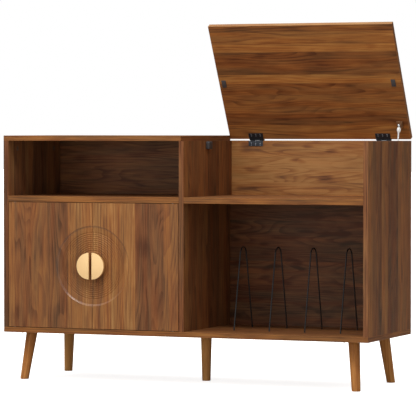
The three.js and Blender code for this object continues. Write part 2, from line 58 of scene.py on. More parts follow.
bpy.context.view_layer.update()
print("packed nodes:", len(frame["nodes"]))

# %% [markdown]
# ## Sizes that later cells share
#
# Nothing is measured twice. The front plane, the line between the doors and the hinge line of the lid
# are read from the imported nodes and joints, so a dressed piece always sits where its solid sits.

# %% Read the shared sizes
MM = 0.001
front_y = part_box("left_side_panel")[0].y
board_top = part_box("bottom_panel")[1].z
door_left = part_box("left_door")[0].x
seam_x = (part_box("left_door")[1].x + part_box("right_door")[0].x) / 2
door_low, door_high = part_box("left_door")[0].z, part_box("left_door")[1].z
door_middle_z = (door_low + door_high) / 2
joint = {row["name"]: row for row in frame["joints"]}
hinge_line = Vector(joint["lid_hinge"]["pos_m"])
lid_angle = math.radians(joint["lid_hinge"]["range_deg"][1])
SIDES = (("left", -1), ("right", 1))
print(f"seam at x {seam_x / MM:.1f} mm, lid open {math.degrees(lid_angle):.1f} degrees")

# %% [markdown]
# ## The camera
#
# The photograph was taken with a long lens from the right of the cabinet, slightly above its top. A long
# lens keeps the verticals parallel, so the camera is tipped down a little instead of being shifted.
# Its place was found by lining up the corners of the carcass with their places in the photograph.

# %% Set the camera
CAMERA_PLACE = Vector((3.3479, -8.016, 0.781))
CAMERA_AZIMUTH = 22.635
CAMERA_PITCH = 1.6223
SENSOR_WIDTH = 36
PHOTO_WIDTH = 416
FOCAL_PIXELS = 2809.9

camera_data = bpy.data.cameras.new("camera")
camera_data.sensor_width = SENSOR_WIDTH
camera_data.lens = FOCAL_PIXELS * SENSOR_WIDTH / PHOTO_WIDTH
camera_data.clip_end = 200
camera = bpy.data.objects.new("camera", camera_data)
camera.location = CAMERA_PLACE
camera.rotation_euler = (math.radians(90 - CAMERA_PITCH), 0, math.radians(CAMERA_AZIMUTH))
scene.collection.objects.link(camera)
scene.camera = camera
print(f"lens {camera_data.lens:.0f} mm at {CAMERA_PLACE.length:.1f} m")

# %% [markdown]
# ## A few small tools
#
# Colours are written as the hex values that a colour picker shows, and one function turns them into the
# linear numbers that a renderer adds up. A second function adds one node to any node tree, with its
# settings and with what feeds each of its sockets, so that a tree reads like a list. The others fill a
# colour ramp, start a material and start a node group with named sockets.

# %% Colour and node helpers
def linear(hex_code):
    """A picked sRGB colour as linear RGBA."""
    parts = [int(hex_code[i : i + 2], 16) / 255 for i in (1, 3, 5)]
    return tuple(c / 12.92 if c <= 0.04045 else ((c + 0.055) / 1.055) ** 2.4 for c in parts) + (1.0,)


def add(tree, kind, settings, sockets):
    """Adds one node: its settings by name, its sockets by name or number, linked or set to a value."""
    node = tree.nodes.new(kind)
    for name, value in settings.items():
        setattr(node, name, value)
    for key, value in sockets.items():
        if isinstance(value, bpy.types.NodeSocket):
            tree.links.new(value, node.inputs[key])
        else:
            node.inputs[key].default_value = value
    return node


def set_ramp(node, stops, steps=False):
    """Fills a colour ramp with (place, colour) stops, blended or in steps."""
    ramp = node.color_ramp
    ramp.interpolation = "CONSTANT" if steps else "LINEAR"
    while len(ramp.elements) > 1:
        ramp.elements.remove(ramp.elements[-1])
    ramp.elements[0].position, ramp.elements[0].color = stops[0]
    for place, color in stops[1:]:
        ramp.elements.new(place).color = color


def new_material(name):
    """A new material and its node tree."""
    material = bpy.data.materials.new(name)
    material.use_nodes = True
    return material, material.node_tree


def new_group(name, kind, inputs, outputs):
    """A new node group with sockets given by name and type, and what its input node hands on."""
    tree = bpy.data.node_groups.new(name, kind)
    for way, sockets in (("INPUT", inputs), ("OUTPUT", outputs)):
        for label, socket in sockets.items():
            tree.interface.new_socket(label, in_out=way, socket_type="NodeSocket" + socket)
    return tree, tree.nodes.new("NodeGroupInput").outputs


print("mid walnut in linear light:", [round(c, 3) for c in linear("#855a3a")[:3]])

# %% [markdown]
# ## The studio
#
# The cabinet stands on a plain pale floor in a white room. What the camera sees of both is nearly white.
# What they throw on the cabinet differs from it: the floor counts as a greyer one, and the room is dim at
# the horizon and bright overhead, so the bays stay dark inside.
#
# There are four soft lights. A wide one stands low in front and lights all the fronts evenly. One hangs
# high in front, a little to the right: it grazes the doors, so the lower rim of the carved field shines
# and its upper rim is dark, and it lights the upper edges of the shelves and of the open lid. A weaker
# one, high at the front left, adds to the fronts and not to the right side. The weakest, at the right,
# keeps that side half as bright as the front.

# %% The floor
scene.view_settings.view_transform = "Standard"

WHITE = (1, 1, 1, 1)
FLOOR_HALF = 40
FLOOR_SEEN = "#fbfaf8"
FLOOR_THROWN_BACK = "#a8a39d"
# A glow for the camera alone, which thins the shadow under the cabinet to a faint one
FLOOR_GLOW = 0.8

floor_mesh = bpy.data.meshes.new("floor")
floor_corners = [(x * FLOOR_HALF, y * FLOOR_HALF, 0) for x, y in ((-1, -1), (1, -1), (1, 1), (-1, 1))]
floor_mesh.from_pydata(floor_corners, [], [(0, 1, 2, 3)])
floor = bpy.data.objects.new("floor", floor_mesh)
scene.collection.objects.link(floor)
# Matt paint: it lends the legs and the underside a soft light from below
floor_paint, floor_tree = new_material("pale studio floor")
seen = add(floor_tree, "ShaderNodeLightPath", {}, {}).outputs["Is Camera Ray"]
floor_color = add(
    floor_tree,
    "ShaderNodeMix",
    {"data_type": "RGBA"},
    {0: seen, 6: linear(FLOOR_THROWN_BACK), 7: linear(FLOOR_SEEN)},
).outputs[2]
glow = add(floor_tree, "ShaderNodeMath", {"operation": "MULTIPLY"}, {0: seen, 1: FLOOR_GLOW}).outputs[0]
floor_shader = floor_tree.nodes["Principled BSDF"]
floor_shader.inputs["Roughness"].default_value = 0.8
floor_shader.inputs["Emission Color"].default_value = WHITE
floor_tree.links.new(floor_color, floor_shader.inputs["Base Color"])
floor_tree.links.new(glow, floor_shader.inputs["Emission Strength"])
floor_mesh.materials.append(floor_paint)
print("floor:", 2 * FLOOR_HALF, "m wide")

# %% The white room
HORIZON_STRENGTH = 0.07
CEILING_STRENGTH = 1.7

world = bpy.data.worlds.new("white room")
world.use_nodes = True
room_tree = world.node_tree
room = room_tree.nodes["Background"]
room.inputs["Color"].default_value = WHITE
direction = add(room_tree, "ShaderNodeTexCoord", {}, {}).outputs["Generated"]
height = add(room_tree, "ShaderNodeSeparateXYZ", {}, {0: direction}).outputs["Z"]
above = add(room_tree, "ShaderNodeMath", {"operation": "MAXIMUM"}, {0: height, 1: 0.0}).outputs[0]
overhead = add(room_tree, "ShaderNodeMath", {"operation": "POWER"}, {0: above, 1: 2.0}).outputs[0]
thrown = add(
    room_tree,
    "ShaderNodeMath",
    {"operation": "MULTIPLY_ADD"},
    {0: overhead, 1: CEILING_STRENGTH, 2: HORIZON_STRENGTH},
).outputs[0]
looked_at = add(room_tree, "ShaderNodeLightPath", {}, {}).outputs["Is Camera Ray"]
strength = add(room_tree, "ShaderNodeMapRange", {}, {"Value": looked_at, "To Min": thrown, "To Max": 1.0})
room_tree.links.new(strength.outputs["Result"], room.inputs["Strength"])
scene.world = world
print("room nodes:", len(room_tree.nodes))


# %% The lights
def soft_light(name, place, target, width, height, watts):
    """A soft light that faces a point and isn't seen itself."""
    data = bpy.data.lights.new(name, "AREA")
    data.shape = "RECTANGLE"
    data.size = width
    data.size_y = height
    data.energy = watts
    lamp = bpy.data.objects.new(name, data)
    lamp.location = place
    lamp.rotation_euler = (Vector(target) - Vector(place)).to_track_quat("-Z", "Y").to_euler()
    lamp.visible_camera = False
    scene.collection.objects.link(lamp)


soft_light("key light", (-2.0, -3.4, 2.8), (0, 0, 0.5), 1.4, 1.4, 22)
soft_light("high front light", (0.25, -2.0, 3.5), (0, -0.2, 0.4), 0.9, 0.7, 45)
soft_light("low front fill", (-1.2, -5.2, 0.8), (0, 0, 0.4), 3.6, 1.4, 45)
soft_light("right side fill", (3.6, -2.6, 0.9), (0.3, 0, 0.4), 1.6, 1.6, 11)

# %% [markdown]
# ## Walnut, as a laminate shows it
#
# The boards are faced with a printed walnut: strips a few centimetres wide, side by side, each cut from
# another place of the tree. Inside a strip the eye sees four things. Growth rings appear as thin dark
# lines, straight where the cut is square to the rings and arched where it is flat. Streaks run along the
# grain. Broad clouds make it lighter and darker. Pores are dark dashes, half a millimetre wide.
#
# One node group makes all four from a place given in millimetres: x across the grain, y along it. Noise
# that is squeezed across the grain and stretched along it gives streaks. Counting the contour lines of
# a broad noise gives arches, as the contour lines of a hill do on a map.

# %% The node group for the walnut figure
# The tree's depth in the noise. A strip's slice is a share of it, so no two strips of a board look alike
TREE_DEPTH = 97.0
# The width of a year's ring in a straight strip, in millimetres, and how much of that row of rings is
# left in a fully arched one
YEAR_WIDTH = 9.0
ARCHED_SHARE = 0.25
# How many contour lines are counted over the hills of a straight strip and of a fully arched one
FEW_CONTOURS, MANY_CONTOURS = 2.0, 17.0
# A year's ring is pale at first, darkens from the first of these shares of its width to the second, and
# then turns pale again at once
LATE_WOOD, YEAR_END = 0.35, 0.93


def walnut_figure():
    """A group that turns a place in millimetres and a strip's traits into a shade from 0, dark, to 1."""
    traits = {"Place": "Vector", "Tone": "Float", "Slice": "Float", "Arch": "Float", "Cloud": "Float"}
    results = {"Shade": "Float", "Warmth": "Float", "Pores": "Float"}
    tree, given = new_group("walnut figure", "ShaderNodeTree", traits, results)
    parts = add(tree, "ShaderNodeSeparateXYZ", {}, {0: given["Place"]}).outputs
    depth = add(
        tree, "ShaderNodeMath", {"operation": "MULTIPLY"}, {0: given["Slice"], 1: TREE_DEPTH}
    ).outputs[0]
    spot = add(tree, "ShaderNodeCombineXYZ", {}, {0: parts[0], 1: parts[1], 2: depth}).outputs[0]

    def grain_noise(width, length, detail, roughness=0.5):
        """Noise whose patches are width millimetres across the grain and length along it."""
        squeezed = add(
            tree, "ShaderNodeMapping", {}, {"Vector": spot, "Scale": (1 / width, 1 / length, 1)}
        ).outputs[0]
        return add(
            tree,
            "ShaderNodeTexNoise",
            {},
            {"Vector": squeezed, "Scale": 1.0, "Detail": detail, "Roughness": roughness},
        ).outputs[0]

    def marks(width, length, detail, least, most):
        """Only the peaks of a grain noise, so that they stand alone as marks."""
        return add(
            tree,
            "ShaderNodeMapRange",
            {"interpolation_type": "SMOOTHSTEP"},
            {"Value": grain_noise(width, length, detail), "From Min": least, "From Max": most},
        ).outputs[0]

    hills = grain_noise(58, 430, 1, 0.4)
    contours = add(
        tree,
        "ShaderNodeMapRange",
        {},
        {"Value": given["Arch"], "To Min": FEW_CONTOURS, "To Max": MANY_CONTOURS},
    ).outputs[0]
    flat_cut = add(tree, "ShaderNodeMath", {"operation": "MULTIPLY"}, {0: hills, 1: contours}).outputs[0]
    years_per_mm = add(
        tree,
        "ShaderNodeMapRange",
        {},
        {"Value": given["Arch"], "To Min": 1 / YEAR_WIDTH, "To Max": ARCHED_SHARE / YEAR_WIDTH},
    ).outputs[0]
    years = add(
        tree, "ShaderNodeMath", {"operation": "MULTIPLY_ADD"}, {0: parts[0], 1: years_per_mm, 2: flat_cut}
    ).outputs[0]
    season = add(tree, "ShaderNodeMath", {"operation": "FRACT"}, {0: years}).outputs[0]
    late_wood = add(
        tree,
        "ShaderNodeMapRange",
        {"interpolation_type": "SMOOTHSTEP"},
        {"Value": season, "From Min": LATE_WOOD, "From Max": YEAR_END},
    ).outputs[0]
    year_end = add(
        tree,
        "ShaderNodeMapRange",
        {"interpolation_type": "SMOOTHSTEP"},
        {"Value": season, "From Min": YEAR_END, "To Min": 1.0, "To Max": 0.0},
    ).outputs[0]
    line = add(tree, "ShaderNodeMath", {"operation": "MULTIPLY"}, {0: late_wood, 1: year_end}).outputs[0]
    # The lines fade in some places, as they do in a print of real wood
    fade = add(
        tree,
        "ShaderNodeMapRange",
        {},
        {"Value": grain_noise(26, 170, 1), "From Min": 0.36, "From Max": 0.62, "To Min": 0.15},
    ).outputs[0]
    line = add(tree, "ShaderNodeMath", {"operation": "MULTIPLY"}, {0: line, 1: fade}).outputs[0]
    pores = marks(0.5, 11, 1, 0.6, 0.72)
    clouds = add(
        tree, "ShaderNodeMath", {"operation": "MULTIPLY"}, {0: marks(26, 90, 1, 0.56, 0.8), 1: given["Cloud"]}
    ).outputs[0]
    shade = add(tree, "ShaderNodeMath", {"operation": "SUBTRACT"}, {0: given["Tone"], 1: clouds}).outputs[0]
    # Each layer: a pattern, how much of it is added, and its usual value, which leaves the tone alone
    for layer, amount, usual in (
        (grain_noise(38, 150, 2), 0.56, 0.5),
        (grain_noise(7.5, 250, 1), 0.3, 0.5),
        (grain_noise(2.8, 70, 3, 0.6), 0.6, 0.5),
        (marks(2.8, 120, 2, 0.52, 0.75), -0.23, 0.2),
        (line, -0.27, 0.3),
        (pores, -0.08, 0.2),
    ):
        step = add(
            tree, "ShaderNodeMath", {"operation": "MULTIPLY_ADD"}, {0: layer, 1: amount, 2: -amount * usual}
        ).outputs[0]
        shade = add(tree, "ShaderNodeMath", {"operation": "ADD"}, {0: shade, 1: step}).outputs[0]
    warmth = add(
        tree,
        "ShaderNodeMapRange",
        {},
        {"Value": grain_noise(22, 300, 1), "From Min": 0.35, "From Max": 0.65},
    ).outputs[0]
    add(tree, "NodeGroupOutput", {}, {"Shade": shade, "Warmth": warmth, "Pores": pores})
    return tree


figure_group = walnut_figure()
print("figure group nodes:", len(figure_group.nodes))

# %% [markdown]
# ## The colours of the print
#
# A shade from the figure group is looked up in a row of five walnut colours, from the darkest line to
# the palest strip. Prints differ a little from sheet to sheet, so there are four such rows, and one
# more for the stained beech of the legs. Melamine resin covers the print. It is satin, and the pores
# are pressed a twentieth of a millimetre into it, where it is a little rougher.

# %% Five rows of walnut colours and the laminate's shader
WALNUT_SHADES = ("#342216", "#5b3a24", "#825432", "#a26d3b", "#be8b52")
# The print on the long bands and the right side is a little more golden
GOLDEN_SHADES = ("#341f12", "#5b381f", "#83532b", "#a56d36", "#c38c4c")
# The print on the insides of the bays and on some bands is a little greyer
GREY_SHADES = ("#36251a", "#5d3f2b", "#855939", "#a47345", "#bf905b")
# Stained beech is paler and redder
LEG_SHADES = ("#4a2b16", "#774926", "#a46935", "#c68848", "#dfa460")
# The lid's print is the warmest of all
LID_SHADES = ("#331c0e", "#5c371a", "#855227", "#a86d34", "#c88d49")
WARM_WALNUT = "#8a4a2a"
COOL_WALNUT = "#6e533b"
WALNUT_IOR = 1.43
# The resin's own gloss is broken by the pressed pores, so it reflects less than a clear resin
WALNUT_SPECULAR = 0.15
FACE_ROUGHNESS = 0.46
PORE_ROUGHER = 0.2
PORE_BUMP = 0.5
PORE_DEPTH = 0.05 * MM


def laminate(tree, traits, shades, tint_share, roughness, specular=WALNUT_SPECULAR, warmth=None):
    """The figure in its colours, with a satin sheen and open pores, on a material's shader."""
    figure = add(tree, "ShaderNodeGroup", {"node_tree": figure_group}, traits).outputs
    color = add(tree, "ShaderNodeValToRGB", {}, {"Fac": figure["Shade"]})
    set_ramp(color, [(i / (len(shades) - 1), linear(code)) for i, code in enumerate(shades)])
    tint = add(
        tree,
        "ShaderNodeMix",
        {"data_type": "RGBA"},
        {0: figure["Warmth"] if warmth is None else warmth, 6: linear(COOL_WALNUT), 7: linear(WARM_WALNUT)},
    ).outputs[2]
    tinted = add(
        tree, "ShaderNodeMix", {"data_type": "RGBA"}, {0: tint_share, 6: color.outputs[0], 7: tint}
    ).outputs[2]
    rough = add(
        tree,
        "ShaderNodeMapRange",
        {},
        {"Value": figure["Pores"], "To Min": roughness, "To Max": roughness + PORE_ROUGHER},
    ).outputs[0]
    relief = add(
        tree,
        "ShaderNodeBump",
        {"invert": True},
        {"Strength": PORE_BUMP, "Distance": PORE_DEPTH, "Height": figure["Pores"]},
    ).outputs[0]
    shader = tree.nodes["Principled BSDF"]
    shader.inputs["IOR"].default_value = WALNUT_IOR
    shader.inputs["Specular IOR Level"].default_value = specular
    tree.links.new(tinted, shader.inputs["Base Color"])
    tree.links.new(rough, shader.inputs["Roughness"])
    tree.links.new(relief, shader.inputs["Normal"])


print("walnut colours in a row:", len(WALNUT_SHADES))

# %% [markdown]
# ## Laying up the strips
#
# A board's face is planned as a maker plans a panel: a list of strips with the width of each in
# millimetres, how light it is, and how arched its grain is. A stepped colour ramp holds such a plan. Its
# three channels carry the lightness, the slice of the tree and the arch, so one look-up across the
# board tells the figure group everything about the strip that a point lies in.
#
# A knot that lies just under a strip darkens it softly. Such a smudge is a round gradient, squeezed to
# the knot's width and length, that is taken off the tone.

# %% Walnut faces and edge bands
# Each strip is cut so much further on in the tree, as a share of the whole
NEXT_SLICE = 0.37
FACE_TINT = 0.3
BAND_TINT = 0.25
BAND_TONE = 0.5
BAND_ROUGHNESS = 0.5


def board_place(tree, across, along, tilt=0.0):
    """How far a point lies across the grain, and its place with x across and y along, in millimetres."""
    place = add(tree, "ShaderNodeTexCoord", {}, {}).outputs["Object"]
    turned = add(
        tree, "ShaderNodeMapping", {}, {"Vector": place, "Rotation": (tilt, 0, 0), "Scale": (1 / MM,) * 3}
    ).outputs[0]
    parts = add(tree, "ShaderNodeSeparateXYZ", {}, {0: turned}).outputs
    x, y = parts["XYZ".index(across)], parts["XYZ".index(along)]
    return x, add(tree, "ShaderNodeCombineXYZ", {}, {0: x, 1: y}).outputs[0]


def smudge_shade(tree, spot, across_mm, along_mm, half_width, half_length, darker):
    """How much a knot's shadow darkens a point."""
    centred = add(
        tree,
        "ShaderNodeMapping",
        {},
        {
            "Vector": spot,
            "Location": (-across_mm / half_width, -along_mm / half_length, 0),
            "Scale": (1 / half_width, 1 / half_length, 1),
        },
    ).outputs[0]
    away = add(tree, "ShaderNodeVectorMath", {"operation": "LENGTH"}, {0: centred}).outputs["Value"]
    return add(
        tree,
        "ShaderNodeMapRange",
        {"interpolation_type": "SMOOTHSTEP"},
        {"Value": away, "To Min": darker, "To Max": 0.0},
    ).outputs[0]


def walnut_face(
    name,
    across,
    along,
    start,
    strips,
    tilt=0.0,
    lighter=0.0,
    shades=WALNUT_SHADES,
    seed=0,
    roughness=FACE_ROUGHNESS,
    specular=WALNUT_SPECULAR,
    cloud=0.2,
    smudges=(),
):
    """Laminate for a board's face. start is where the first strip begins, in metres."""
    material, tree = new_material(name)
    x, spot = board_place(tree, across, along, tilt)
    total = sum(width for width, _, _ in strips)
    share = add(
        tree, "ShaderNodeMapRange", {}, {"Value": x, "From Min": start / MM, "From Max": start / MM + total}
    ).outputs[0]
    plan = add(tree, "ShaderNodeValToRGB", {}, {"Fac": share})
    stops, place = [], 0
    for i, (width, tone, arch) in enumerate(strips):
        stops.append((place / total, (tone, ((i + seed) * NEXT_SLICE) % 1, arch, 1)))
        place += width
    set_ramp(plan, stops, steps=True)
    traits = add(tree, "ShaderNodeSeparateColor", {}, {0: plan.outputs[0]}).outputs
    tone = add(tree, "ShaderNodeMath", {"operation": "ADD"}, {0: traits[0], 1: lighter}).outputs[0]
    for smudge in smudges:
        dark = smudge_shade(tree, spot, *smudge)
        tone = add(tree, "ShaderNodeMath", {"operation": "SUBTRACT"}, {0: tone, 1: dark}).outputs[0]
    figure_traits = {"Place": spot, "Tone": tone, "Slice": traits[1], "Arch": traits[2], "Cloud": cloud}
    laminate(tree, figure_traits, shades, FACE_TINT, roughness, specular)
    return material


def edge_band(name, across, along, tilt=0.0, lighter=0.0, slice_share=0.5, shades=WALNUT_SHADES):
    """The glued strip on a board's edge: the same print, without arches."""
    material, tree = new_material(name)
    _, spot = board_place(tree, across, along, tilt)
    traits = {"Place": spot, "Tone": BAND_TONE + lighter, "Slice": slice_share, "Arch": 0.0}
    laminate(tree, traits, shades, BAND_TINT, BAND_ROUGHNESS)
    return material


print("slices of the first strips:", [round(i * NEXT_SLICE % 1, 2) for i in range(4)])

# %% The plans of the boards
# Each strip: its width in millimetres, its lightness and its arch
DOOR_STRIPS = [
    (18, 0.60, 0.1),
    (58, 0.41, 0.9),
    (56, 0.49, 0.4),
    (69, 0.36, 0.4),
    (50, 0.62, 0.2),
    (35, 0.66, 0.2),
    (34, 0.65, 0.3),
    (43, 0.69, 0.1),
    (28, 0.57, 0.2),
    (38, 0.69, 0.1),
    (53, 0.33, 0.5),
    (42, 0.37, 0.9),
    (47, 0.51, 0.7),
]
LID_STRIPS = [
    (21, 0.44, 0.2),
    (42, 0.62, 0.4),
    (28, 0.72, 0.1),
    (77, 0.34, 0.5),
    (30, 0.68, 0.2),
    (40, 0.42, 0.5),
    (66, 0.50, 0.6),
    (40, 0.34, 0.3),
    (51, 0.62, 0.3),
]
SIDE_STRIPS = [
    (40, 0.60, 0.3),
    (80, 0.38, 0.6),
    (56, 0.60, 0.3),
    (95, 0.30, 0.7),
    (52, 0.60, 0.2),
    (75, 0.50, 0.4),
]
DIVIDER_STRIPS = [
    (36, 0.58, 0.2),
    (70, 0.40, 0.6),
    (84, 0.50, 0.5),
    (90, 0.30, 0.4),
    (60, 0.48, 0.3),
    (58, 0.36, 0.3),
]
SHELF_STRIPS = [
    (60, 0.52, 0.3),
    (72, 0.42, 0.6),
    (48, 0.56, 0.2),
    (84, 0.46, 0.7),
    (60, 0.38, 0.3),
    (74, 0.52, 0.5),
]
BACK_STRIPS = [
    (70, 0.46, 0.8),
    (56, 0.36, 0.5),
    (74, 0.50, 0.9),
    (48, 0.40, 0.4),
    (80, 0.46, 0.9),
    (62, 0.38, 0.6),
]
RAIL_STRIPS = [(58, 0.74, 0.9), (76, 0.84, 1.0), (55, 0.72, 0.8)]
# Each knot: its place across and down from the upper left corner of the pair of doors, its half width
# and half length in millimetres, and how dark it is
KNOTS = ((458, 132, 40, 50, 0.24), (118, 165, 42, 60, 0.13))
door_smudges = [
    (door_left / MM + across, door_high / MM - down, half_width, half_length, darker)
    for across, down, half_width, half_length, darker in KNOTS
]
print("door strips:", len(DOOR_STRIPS), "in", sum(width for width, _, _ in DOOR_STRIPS), "mm")

# %% The faces
rail_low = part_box("rear_hinge_rail")[0].z
left_back_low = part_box("left_back_panel")[0].z
right_back_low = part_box("right_back_panel")[0].z
turned_shut = Matrix.Rotation(lid_angle, 3, "X")
lid_front = min((turned_shut @ v.co).y for v in frame["nodes"]["lid"].data.vertices)
# The film is stretched over the rim of the carved field, so it is glossier there
RIM_ROUGHNESS = 0.3
RIM_SPECULAR = 0.7

# Printed walnut under satin resin: broad strips of differing figure, with a soft sheen over all of them
faces = {
    "left_side_panel": walnut_face(
        "walnut left side", "Y", "Z", front_y, SIDE_STRIPS, shades=GREY_SHADES, seed=1
    ),
    # Painted shade: the right side is painted darker, as it faces away from the strongest lights
    "right_side_panel": walnut_face(
        "walnut right side", "Y", "Z", front_y, SIDE_STRIPS, lighter=-0.09, shades=GOLDEN_SHADES, seed=5
    ),
    "centre_divider": walnut_face("walnut divider", "Y", "Z", front_y, DIVIDER_STRIPS, lighter=-0.03, seed=9),
    "top_panel": walnut_face("walnut top", "Y", "X", front_y, SHELF_STRIPS, seed=2),
    "left_shelf": walnut_face("walnut left shelf", "Y", "X", front_y, SHELF_STRIPS[::-1], seed=4),
    "turntable_shelf": walnut_face("walnut turntable shelf", "Y", "X", front_y, SHELF_STRIPS, seed=6),
    "bottom_panel": walnut_face("walnut bottom", "Y", "X", front_y, SHELF_STRIPS[::-1], seed=8),
    "rear_hinge_rail": walnut_face("walnut rail", "Z", "X", rail_low, RAIL_STRIPS, seed=3, cloud=0.42),
    "left_back_panel": walnut_face(
        "walnut back left", "Z", "X", left_back_low, BACK_STRIPS, lighter=0.02, shades=GREY_SHADES, seed=3
    ),
    # Painted shade: the back of the record bay is painted darker, as the records that stand in the bay shade it
    "right_back_panel": walnut_face(
        "walnut back right",
        "Z",
        "X",
        right_back_low,
        BACK_STRIPS,
        lighter=-0.24,
        shades=GREY_SHADES,
        seed=7,
        cloud=0.5,
    ),
    "doors": walnut_face("walnut doors", "X", "Z", door_left, DOOR_STRIPS, smudges=door_smudges),
    "door_rim": walnut_face(
        "walnut door rim", "X", "Z", door_left, DOOR_STRIPS, roughness=RIM_ROUGHNESS, specular=RIM_SPECULAR
    ),
    "lid": walnut_face(
        "walnut lid", "Y", "X", lid_front, LID_STRIPS, tilt=lid_angle, shades=LID_SHADES, seed=2
    ),
}
print("walnut faces:", len(faces))

# %% The edge bands
# The same print on a thin glued strip: a fine straight grain that frames each board. A band is named
# for the direction in which it runs
bands = {
    "X": edge_band("walnut band x", "Z", "X", lighter=-0.01, slice_share=0.31, shades=GOLDEN_SHADES),
    "Y": edge_band("walnut band y", "Z", "Y", slice_share=0.62),
    "Z": edge_band("walnut band z", "X", "Z", lighter=-0.1, slice_share=0.12, shades=GREY_SHADES),
}
dark_bands = dict(bands, Z=edge_band("dark walnut band z", "X", "Z", lighter=-0.3, slice_share=0.7))
divider_bands = dict(bands, Z=edge_band("divider band z", "X", "Z", lighter=-0.17, slice_share=0.7))
lid_bands = {
    # Painted light: the lid's bands along X are painted lighter, for the light on its free edge when the lid is
    # open
    "X": edge_band(
        "walnut lid band x", "Z", "X", tilt=lid_angle, lighter=0.28, slice_share=0.31, shades=GREY_SHADES
    ),
    "Y": edge_band("walnut lid band y", "Z", "Y", tilt=lid_angle, slice_share=0.62),
}
print("edge bands:", len([m for m in bpy.data.materials if " band " in m.name]))

# %% [markdown]
# ## Other finishes
#
# Paint, plating and moulded plastic are one colour each, but no real one is quite even. A soft mottle
# moves the colour by a few parts in a hundred, and by more on the hardboard. A fine grit moves the sheen
# and dents the surface by five hundredths of a millimetre at most, so a highlight has a living edge.

# %% One function for the plain finishes
MOTTLES_PER_METRE = 60.0
# Most of a noise lies between these two values
NOISE_LOW, NOISE_HIGH = 0.3, 0.7
GRIT_SWING = 0.05
GRIT_BUMP = 0.4


def finished(name, color, roughness, metallic=0.0, grit_mm=0.4, mottle=0.06, relief_mm=0.01):
    """A painted, plated or moulded finish: one colour, slightly mottled, with a fine grit in its sheen."""
    material, tree = new_material(name)
    place = add(tree, "ShaderNodeTexCoord", {}, {}).outputs["Object"]
    grit = add(
        tree, "ShaderNodeTexNoise", {}, {"Vector": place, "Scale": 1 / (grit_mm * MM), "Detail": 2.0}
    ).outputs[0]
    mottles = add(
        tree, "ShaderNodeTexNoise", {}, {"Vector": place, "Scale": MOTTLES_PER_METRE, "Detail": 2.0}
    ).outputs[0]
    base = linear(color)[:3]
    dark = tuple(c * (1 - mottle) for c in base) + (1.0,)
    light = tuple(min(1.0, c * (1 + mottle)) for c in base) + (1.0,)
    tint = add(tree, "ShaderNodeMix", {"data_type": "RGBA"}, {0: mottles, 6: dark, 7: light}).outputs[2]
    rough = add(
        tree,
        "ShaderNodeMapRange",
        {},
        {
            "Value": grit,
            "From Min": NOISE_LOW,
            "From Max": NOISE_HIGH,
            "To Min": roughness - GRIT_SWING,
            "To Max": roughness + GRIT_SWING,
        },
    ).outputs[0]
    bump = add(
        tree, "ShaderNodeBump", {}, {"Strength": GRIT_BUMP, "Distance": relief_mm * MM, "Height": grit}
    ).outputs[0]
    shader = tree.nodes["Principled BSDF"]
    shader.inputs["Metallic"].default_value = metallic
    tree.links.new(tint, shader.inputs["Base Color"])
    tree.links.new(rough, shader.inputs["Roughness"])
    tree.links.new(bump, shader.inputs["Normal"])
    return material


print("a mottle is", round(1000 / MOTTLES_PER_METRE), "mm wide")

# %% Metals and plastics
# Zinc, plated pale gold and ground flat: a satin face that stays bright from every side
pale_gold = finished("pale gold plate", "#ffd497", 0.45, metallic=0.2, grit_mm=0.3, mottle=0.02)
# The same gold, darker and duller, on the side walls round the bright face: painted shade on the walls
gold_wall_shade = finished("gold plate, unground edge", "#d6a464", 0.5, metallic=0.4, grit_mm=0.3, mottle=0.03)
# Sprayed and baked powder: an even black with a fine orange peel
black_coat = finished("black powder coat", "#141416", 0.38, grit_mm=0.6, relief_mm=0.03)
# Stamped steel, chemically blackened: dark with a blue-grey gleam where light grazes it
black_steel = finished("blackened steel sheet", "#3b3f45", 0.4, metallic=0.7, grit_mm=0.6)
# Wire dipped in black plastic: a soft thin line of light along it
black_wire = finished("black coated wire", "#1b1a1a", 0.33, grit_mm=0.5)
# Bright zinc plate: a cool grey metal with a blurred reflection
zinc = finished("zinc plated steel", "#b9bcc0", 0.34, metallic=1.0)
# Steel under a brown lacquer: it nearly sinks into the walnut behind it
bronze_steel = finished("bronze lacquered steel", "#8a6444", 0.4, metallic=0.3)
# Baked white enamel: clean white with a soft gloss
enamel = finished("white enamel", "#f4f4f2", 0.3, mottle=0.02)
# Moulded plastic with a fine spark texture: a dull warm grey that looks soft
dark_plastic = finished("dark moulded plastic", "#403d3e", 0.5, grit_mm=0.8, relief_mm=0.03)
# Plain steel screws: small glints on the black leaves
dark_screw = finished("grey steel screw", "#8d929b", 0.36, metallic=0.9, mottle=0.04)
# Moulded caps in a matt brown, near the colour of the laminate
brown_cap = finished("brown cap plastic", "#6a523f", 0.5)
# Pressed wood fibre: flat and matt, with a clear mottle
hardboard = finished("brown hardboard", "#7a5638", 0.75, grit_mm=1.2, mottle=0.14, relief_mm=0.05)
print("plain finishes made")

# %% [markdown]
# ## Stained beech
#
# The legs are turned from solid beech and stained like walnut, so their grain runs down the leg and has
# no strips. The walnut figure serves for them too, from a place that is turned upright with the leg.
# Each leg is a piece of wood of its own. Its tone is painted light: those that stand in the cabinet's
# shade are painted paler, and the front left one a little darker, so that all look equally bright. The
# lacquer is satin, so a long soft light runs down each leg.

# %% The wood of a leg
# Painted light: how light each leg is painted, paler in the cabinet's shade, a little darker at the front left
LEG_TONE_PAINTED_FOR_LIGHT = {"leg_centre": 0.92, "leg_back_left": 0.96, "leg_back_right": 0.78, "leg_front_left": 0.55}
USUAL_LEG_TONE = 0.6
LEG_SLICE = 0.45
LEG_ARCH = 0.35
LEG_TINT = 0.25
LEG_ROUGHNESS = 0.42
# A share of the depth is added to the width, so that the grain changes round the leg
GRAIN_SLANT = 0.6


